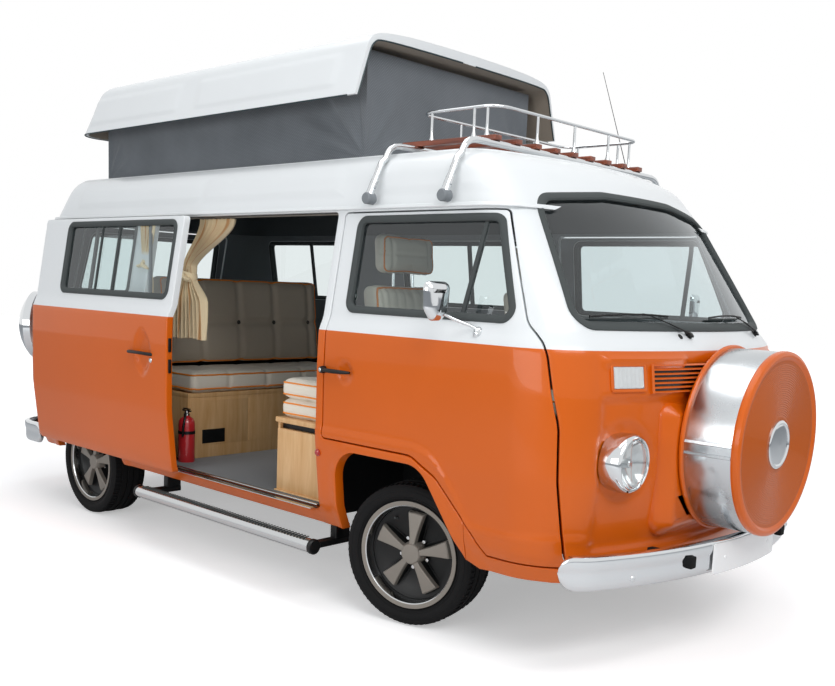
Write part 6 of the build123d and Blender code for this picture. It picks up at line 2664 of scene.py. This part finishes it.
@dataclass
class Cab:
    """Cab seats, steering wheel, dash and door mirrors."""

    seat_y: float = 470.0
    seat_half: float = 233.0
    back_lean: float = 0.19
    ring_r: float = 200.0

    def seat(self, side: int) -> None:
        """One cab seat: fluted cushion and back, and a headrest on two stays."""
        middle = side * self.seat_y
        y0, y1 = middle - self.seat_half, middle + self.seat_half
        name = "left" if side > 0 else "right"

        def flute(p: Vector) -> float:
            """Fluted middle field between plain bolsters."""
            across = p.y - middle
            edge = groove(abs(across) - 165, 16, 7)
            return max(edge, groove((across + 1500) % 48 - 24, 12, 3.4) if abs(across) < 160 else 0.0)

        def lean(p: Vector) -> Vector:
            """Leans the back rearwards and rounds its top."""
            top = max(0.0, (p.z - 1.25) / 0.1)
            return p + Vector((-(p.z - 0.850) * self.back_lean, -(p.y - middle * MM) * 0.12 * top, 0))
        node = ("cab_seats",) if side < 0 else ()
        seat = Cushion(f"{name}_cab_cushion", (-298, y0, 752), (238, y1, 852), 30, 9, crease=flute, node=node,
                       voxel_mm=9).build()
        back = Cushion(f"{name}_cab_back", (-300, y0, 856), (-192, y1, 1352), 34, 10, crease=flute,
                       shape=lean, voxel_mm=9).build()

        def tilt(p: Vector) -> Vector:
            """Leans the headrest a little."""
            return p + Vector((-(p.z - 1.47) * 0.10, 0, 0))

        def cross(p: Vector) -> float:
            """Seams of the headrest."""
            return max(groove(abs(p.y - middle) - 108, 14, 5), groove(p.z - 1470, 12, 3.5) if p.x > -325
                       else 0)
        rest = Cushion(f"{name}_headrest", (-374, middle - 164, 1382), (-286, middle + 164, 1559), 38, 8,
                       crease=cross, shape=tilt, voxel_mm=7).build()
        cord = Draft()
        path = dense(rounded([(-290, y0 + 6), (232, y0 + 6), (232, y1 - 6), (-290, y1 - 6)], 30), 14)
        piping(cord, surface_of(seat), [row(x, y, 842) for x, y in path])
        path = dense(rounded([(y0 + 6, 862), (y1 - 6, 862), (y1 - 34, 1346), (y0 + 34, 1346)], 40), 14)
        piping(cord, surface_of(back), [row(-194 - (z - 850) * self.back_lean, y, z) for y, z in path])
        path = dense(rounded([(middle - 158, 1388), (middle + 158, 1388), (middle + 158, 1553),
                              (middle - 158, 1553)], 34), 12)
        piping(cord, surface_of(rest), [row(-290, y, z) for y, z in path], 3.6)
        for dy in (-60, 60):
            cord.tube([row(-330, middle + dy, 1330), row(-331, middle + dy, 1400)], 6 * MM, 1, 12)
        cord.box(row(-328, middle - 213, 678), row(228, middle + 213, 752), 0.012, 2)
        cord.build(f"{name}_cab_piping", "van", [Look.PIPING, Look.CHROME, Look.BLACK], slot="upholstery")

    def wheel(self) -> None:
        """Steering wheel with a thin rim, dished spokes and a plain horn pad."""
        tilt = Matrix.Rotation(math.radians(-25), 3, "Y")
        at = row(345, 450, 1120)

        def place(along: float, across: float, up: float) -> Vector:
            """Point about the column; along runs up it."""
            return at + tilt @ (Vector((across, up, along)) * MM)
        draft = Draft()
        ring = [place(0, self.ring_r * math.cos(t), self.ring_r * math.sin(t))
                for t in (2 * math.pi * k / 72 for k in range(72))]
        draft.tube(ring, 12.5 * MM, 0, 12, looped=True)
        for k in range(4):
            t = math.pi / 4 + k * math.pi / 2
            path = [place(-4 + 2 * s, (40 + 150 * s) * math.cos(t), (40 + 150 * s) * math.sin(t)) for s in
                    (0, 0.3, 0.6, 1.0)]
            draft.tube(path, [15 * MM, 12 * MM, 10 * MM, 11 * MM], 0, 10, flat=0.4)
        draft.turned([(-14, 0.1), (-14, 40), (-4, 48), (6, 46), (11, 34), (12, 0.1)], place, 0, 48,
                     ends=False)
        draft.turned([(-690, 19), (-60, 19), (-14, 26)], place, 0, 28)
        draft.build("steering_ring", "van", [Look.BLACK], ["steering_wheel"], "black_plastic")

    def dash(self) -> None:
        """Padded dash with a rolled edge, a binnacle with three dials, and a grab rail."""
        draft = Draft()
        half = 780
        rings = []
        for k in range(41):
            y = -half + 2 * half * k / 40
            back = min(846.0, SKIN.section(1190).nose - 36 - y * y / 3800 -
                       max(0.0, abs(y) - 600) ** 2 / 700)
            profile = [(back, 1040), (back, 1196), (back - 60, 1203), (620, 1200), (582, 1192), (566, 1176),
                       (563, 1156), (572, 1130), (600, 1110), (640, 1016), (back - 10, 1012)]
            rings.append([row(x, y, z) for x, z in profile])
        draft.rings(rings, 0)
        draft.box(row(572, 300, 1168), row(700, 600, 1204), 0.03, 0, 4)
        for y in (370, 455, 540):
            def dial(out: float, across: float, up: float, y: float = y) -> Vector:
                """Point about a dial."""
                return row(568 - out, y + across, 1150 + up)
            draft.turned([(-6, 38), (5, 38), (7, 35), (3, 33), (2, 0.1)], dial, 1, 32, ends=False)
        draft.tube([row(556, y, 1100) for y in (-560, -500, -400, -300, -240)], 8 * MM, 0, 10)
        draft.build("padded_dash", "van", [Look.DASH, Look.BLACK], ["dashboard"], "grey_plastic")

    def mirror(self, side: Side) -> None:
        """Chrome mirror with a shield-shaped head on a bent arm."""
        sign = side.value
        turn = Matrix.Rotation(math.radians(-12 * -sign), 3, "Z")
        at = row(300, sign * 945, 1292)

        def place(along: float, across: float, up: float) -> Vector:
            """Point about the head; along runs forwards."""
            return at + turn @ (Vector((along, across, up)) * MM)
        shield = rounded([(-56, 68), (56, 68), (50, -30), (22, -70), (-22, -70), (-50, -30)],
                         [26, 26, 40, 24, 24, 40])
        shield = dense(shield, 12)
        draft = Draft()
        rings = []
        for cut, along in ((4, -15), (0, -12), (0, -6), (3, 2), (10, 9), (22, 13.5), (40, 15.5)):
            rings.append([place(along, y, z) for y, z in inset(shield, cut)])
        draft.rings(rings, 0)
        glass = [[place(a, y, z) for y, z in inset(shield, c)]
                 for c, a in ((5, -15.0), (6, -15.6), (30, -15.6))]
        draft.rings(glass, 1)
        arm = [row(300, sign * 936, 1278), row(302, sign * 918, 1250), row(330, sign * 884, 1230),
               row(372, sign * 852, 1212), row(398, sign * 838, 1199)]
        draft.tube(arm, [6 * MM] * 5, 0, 12)
        draft.turned([(-1, 19), (5, 18), (9, 13), (12, 9), (16, 0.1)],
                     on_chart(SideChart(SKIN, side), 402, 1190), 0, 24, ends=False)
        draft.build(f"{side.label}_mirror", f"{side.label}_door", [Look.CHROME, Look.MIRROR],
                    [f"{side.label}_door_mirror"], "bright", sharp=38)

    def build(self) -> None:
        """Makes the cab fittings."""
        for side in (-1, 1):
            self.seat(side)
        self.wheel()
        self.dash()
        for side in Side:
            self.mirror(side)


@dataclass
class Studio:
    """Camera, lamps, world and floor."""

    spot: tuple[float, float, float] = (3.7048, -3.4851, 1.3349)
    way: tuple[float, float, float] = (-0.67100, 0.72819, -0.13964)
    roll: float = 0.043
    floor_r: float = 26.0

    def camera(self) -> None:
        """Camera solved from the photograph's measured points."""
        data = bpy.data.cameras.new("view")
        data.sensor_width, data.lens = 36.0, 41.846
        data.shift_x, data.shift_y = -0.00476, 0.0981
        way = Vector(self.way).normalized()
        right = way.cross(Vector((0, 0, 1))).normalized()
        up = right.cross(way)
        r2 = right * math.cos(self.roll) + up * math.sin(self.roll)
        u2 = -right * math.sin(self.roll) + up * math.cos(self.roll)
        turn = Matrix((r2, u2, -way)).transposed().to_4x4()
        turn.translation = Vector(self.spot)
        camera = bpy.data.objects.new("view", data)
        camera.matrix_world = turn
        bpy.context.scene.collection.objects.link(camera)
        bpy.context.scene.camera = camera

    def lamp(self, name: str, at: Sequence[float], to: Sequence[float], size: tuple[float, float],
             power: float) -> None:
        """Rectangular soft lamp aimed at a point."""
        data = bpy.data.lights.new(name, "AREA")
        data.shape, data.size, data.size_y, data.energy = "RECTANGLE", size[0], size[1], power
        lamp = bpy.data.objects.new(name, data)
        way = Vector(to) - Vector(at)
        lamp.rotation_euler = way.to_track_quat("-Z", "Y").to_euler()
        lamp.location = at
        bpy.context.scene.collection.objects.link(lamp)

    def world(self) -> None:
        """White seen directly, in glass and in metal; plain grey light on the vehicle."""
        made = bpy.data.worlds.new("studio")
        bpy.context.scene.world = made
        made.use_nodes = True
        tree = made.node_tree
        tree.nodes.clear()
        path = add_node(tree, "ShaderNodeLightPath")
        seen = add_node(tree, "ShaderNodeMath", {0: path.outputs["Is Camera Ray"],
                                                 1: path.outputs["Is Transmission Ray"]}, operation="MAXIMUM")
        both = add_node(tree, "ShaderNodeMath", {0: seen.outputs[0], 1: path.outputs["Is Glossy Ray"]},
                        operation="MAXIMUM")
        plain = add_node(tree, "ShaderNodeBackground", {"Color": linear("#DDE3EA"), "Strength": 0.42})
        white = add_node(tree, "ShaderNodeBackground", {"Color": linear("#FFFFFF"), "Strength": 1.0})
        mix = add_node(tree, "ShaderNodeMixShader", {0: both.outputs[0], 1: plain.outputs[0],
                                                     2: white.outputs[0]})
        out = add_node(tree, "ShaderNodeOutputWorld")
        tree.links.new(mix.outputs[0], out.inputs[0])

    def floor(self) -> None:
        """Pale floor that keeps the vehicle's shadow."""
        count = 48
        rim = [Vector((self.floor_r * math.cos(2 * math.pi * k / count),
                       self.floor_r * math.sin(2 * math.pi * k / count), 0)) for k in range(count)]
        piece = new_piece("studio_floor", rim, [tuple(range(count))])
        made = bpy.data.materials.new("matt_floor_paint")
        made.use_nodes = True
        tree = made.node_tree
        tree.nodes.clear()
        where = add_node(tree, "ShaderNodeTexCoord").outputs["Object"]
        patch = add_node(tree, "ShaderNodeTexNoise", {"Vector": where, "Scale": 1.5})
        tone = add_node(tree, "ShaderNodeMix", {0: patch.outputs["Fac"], 6: linear("#F4F4F4"),
                                                7: linear("#FAFAFA")}, data_type="RGBA")
        skin = add_node(tree, "ShaderNodeBsdfDiffuse", {"Color": tone.outputs[2]})
        path = add_node(tree, "ShaderNodeLightPath")
        away = add_node(tree, "ShaderNodeVectorMath", {0: where}, operation="LENGTH")
        strong = add_node(tree, "ShaderNodeMapRange", {"Value": away.outputs["Value"], 1: 2.2, 2: 7.0,
                                                       3: 0.40, 4: 1.0})
        glow = add_node(tree, "ShaderNodeEmission", {"Color": (1, 1, 1, 1), "Strength": strong.outputs[0]})
        total = add_node(tree, "ShaderNodeAddShader", {0: skin.outputs[0], 1: glow.outputs[0]})
        direct = add_node(tree, "ShaderNodeMixShader", {0: path.outputs["Is Camera Ray"], 1: skin.outputs[0],
                                                        2: total.outputs[0]})
        out = add_node(tree, "ShaderNodeOutputMaterial")
        tree.links.new(direct.outputs[0], out.inputs[0])
        piece.data.materials.append(made)
        piece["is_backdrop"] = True

    def build(self) -> None:
        """Sets the view transform, camera, lamps and floor."""
        bpy.context.scene.view_settings.view_transform = "Standard"
        self.camera()
        self.world()
        self.floor()
        for lamp in LAMPS:
            self.lamp(*lamp)


# Each lamp's name, place, target, size in metres and power in watts.
LAMPS = (
    ("key", (5.5, -2.2, 5.2), (0.4, 0, 0.9), (4.5, 3.0), 215),
    ("overhead", (-0.5, -0.5, 6.5), (-0.2, 0, 1.0), (6.0, 4.0), 130),
    ("side", (1.0, -6.2, 1.9), (-0.6, 0, 0.9), (5.0, 1.8), 95),
)
WHEELS = (
    RoadWheel("right_front", 0.0, -685.0, True), RoadWheel("left_front", 0.0, 685.0, True),
    RoadWheel("right_rear", -WHEELBASE, -712.0, False), RoadWheel("left_rear", -WHEELBASE, 712.0, False),
)
PLAIN = {
    "floor_pan": Look.UNDERSEAL, "slide_rail": Look.STEEL, "engine_block": Look.IRON, "front_axle": Look.IRON,
    "rear_axle": Look.IRON, "right_front_knuckle": Look.IRON, "left_front_knuckle": Look.IRON,
}


def dress_nodes(finishes: dict[str, Look]) -> None:
    """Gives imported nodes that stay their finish."""
    for name, look in finishes.items():
        node = frame["nodes"].get(name)
        for piece in (node if isinstance(node, (list, tuple)) else [node]):
            if piece is None or piece.type != "MESH":
                continue
            if not piece.data.materials:
                piece.data.materials.append(look.material)
            for slot in piece.material_slots:
                slot.material = look.material


def corners(box: tuple[Vector, Vector]) -> list[list[float]]:
    """Box corners as plain lists."""
    return [list(box[0]), list(box[1])]


def main() -> None:
    """Builds every sub-assembly in order."""
    logging.basicConfig(level=logging.INFO, format="%(message)s")
    sizes = {"cad": corners(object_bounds())}
    parts = (Studio(), Body(), *[CabDoor(side) for side in Side], FixedGlass(), NoseFittings(),
             SideFittings(), Rear(), RoofLid(), Bellows(), RoofRack(), LivingSpace(), Cab(), *WHEELS)
    for part in parts:
        part.build()
    dress_nodes(PLAIN)
    sizes["visual"] = corners(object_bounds())


if __name__ == "__main__":
    main()
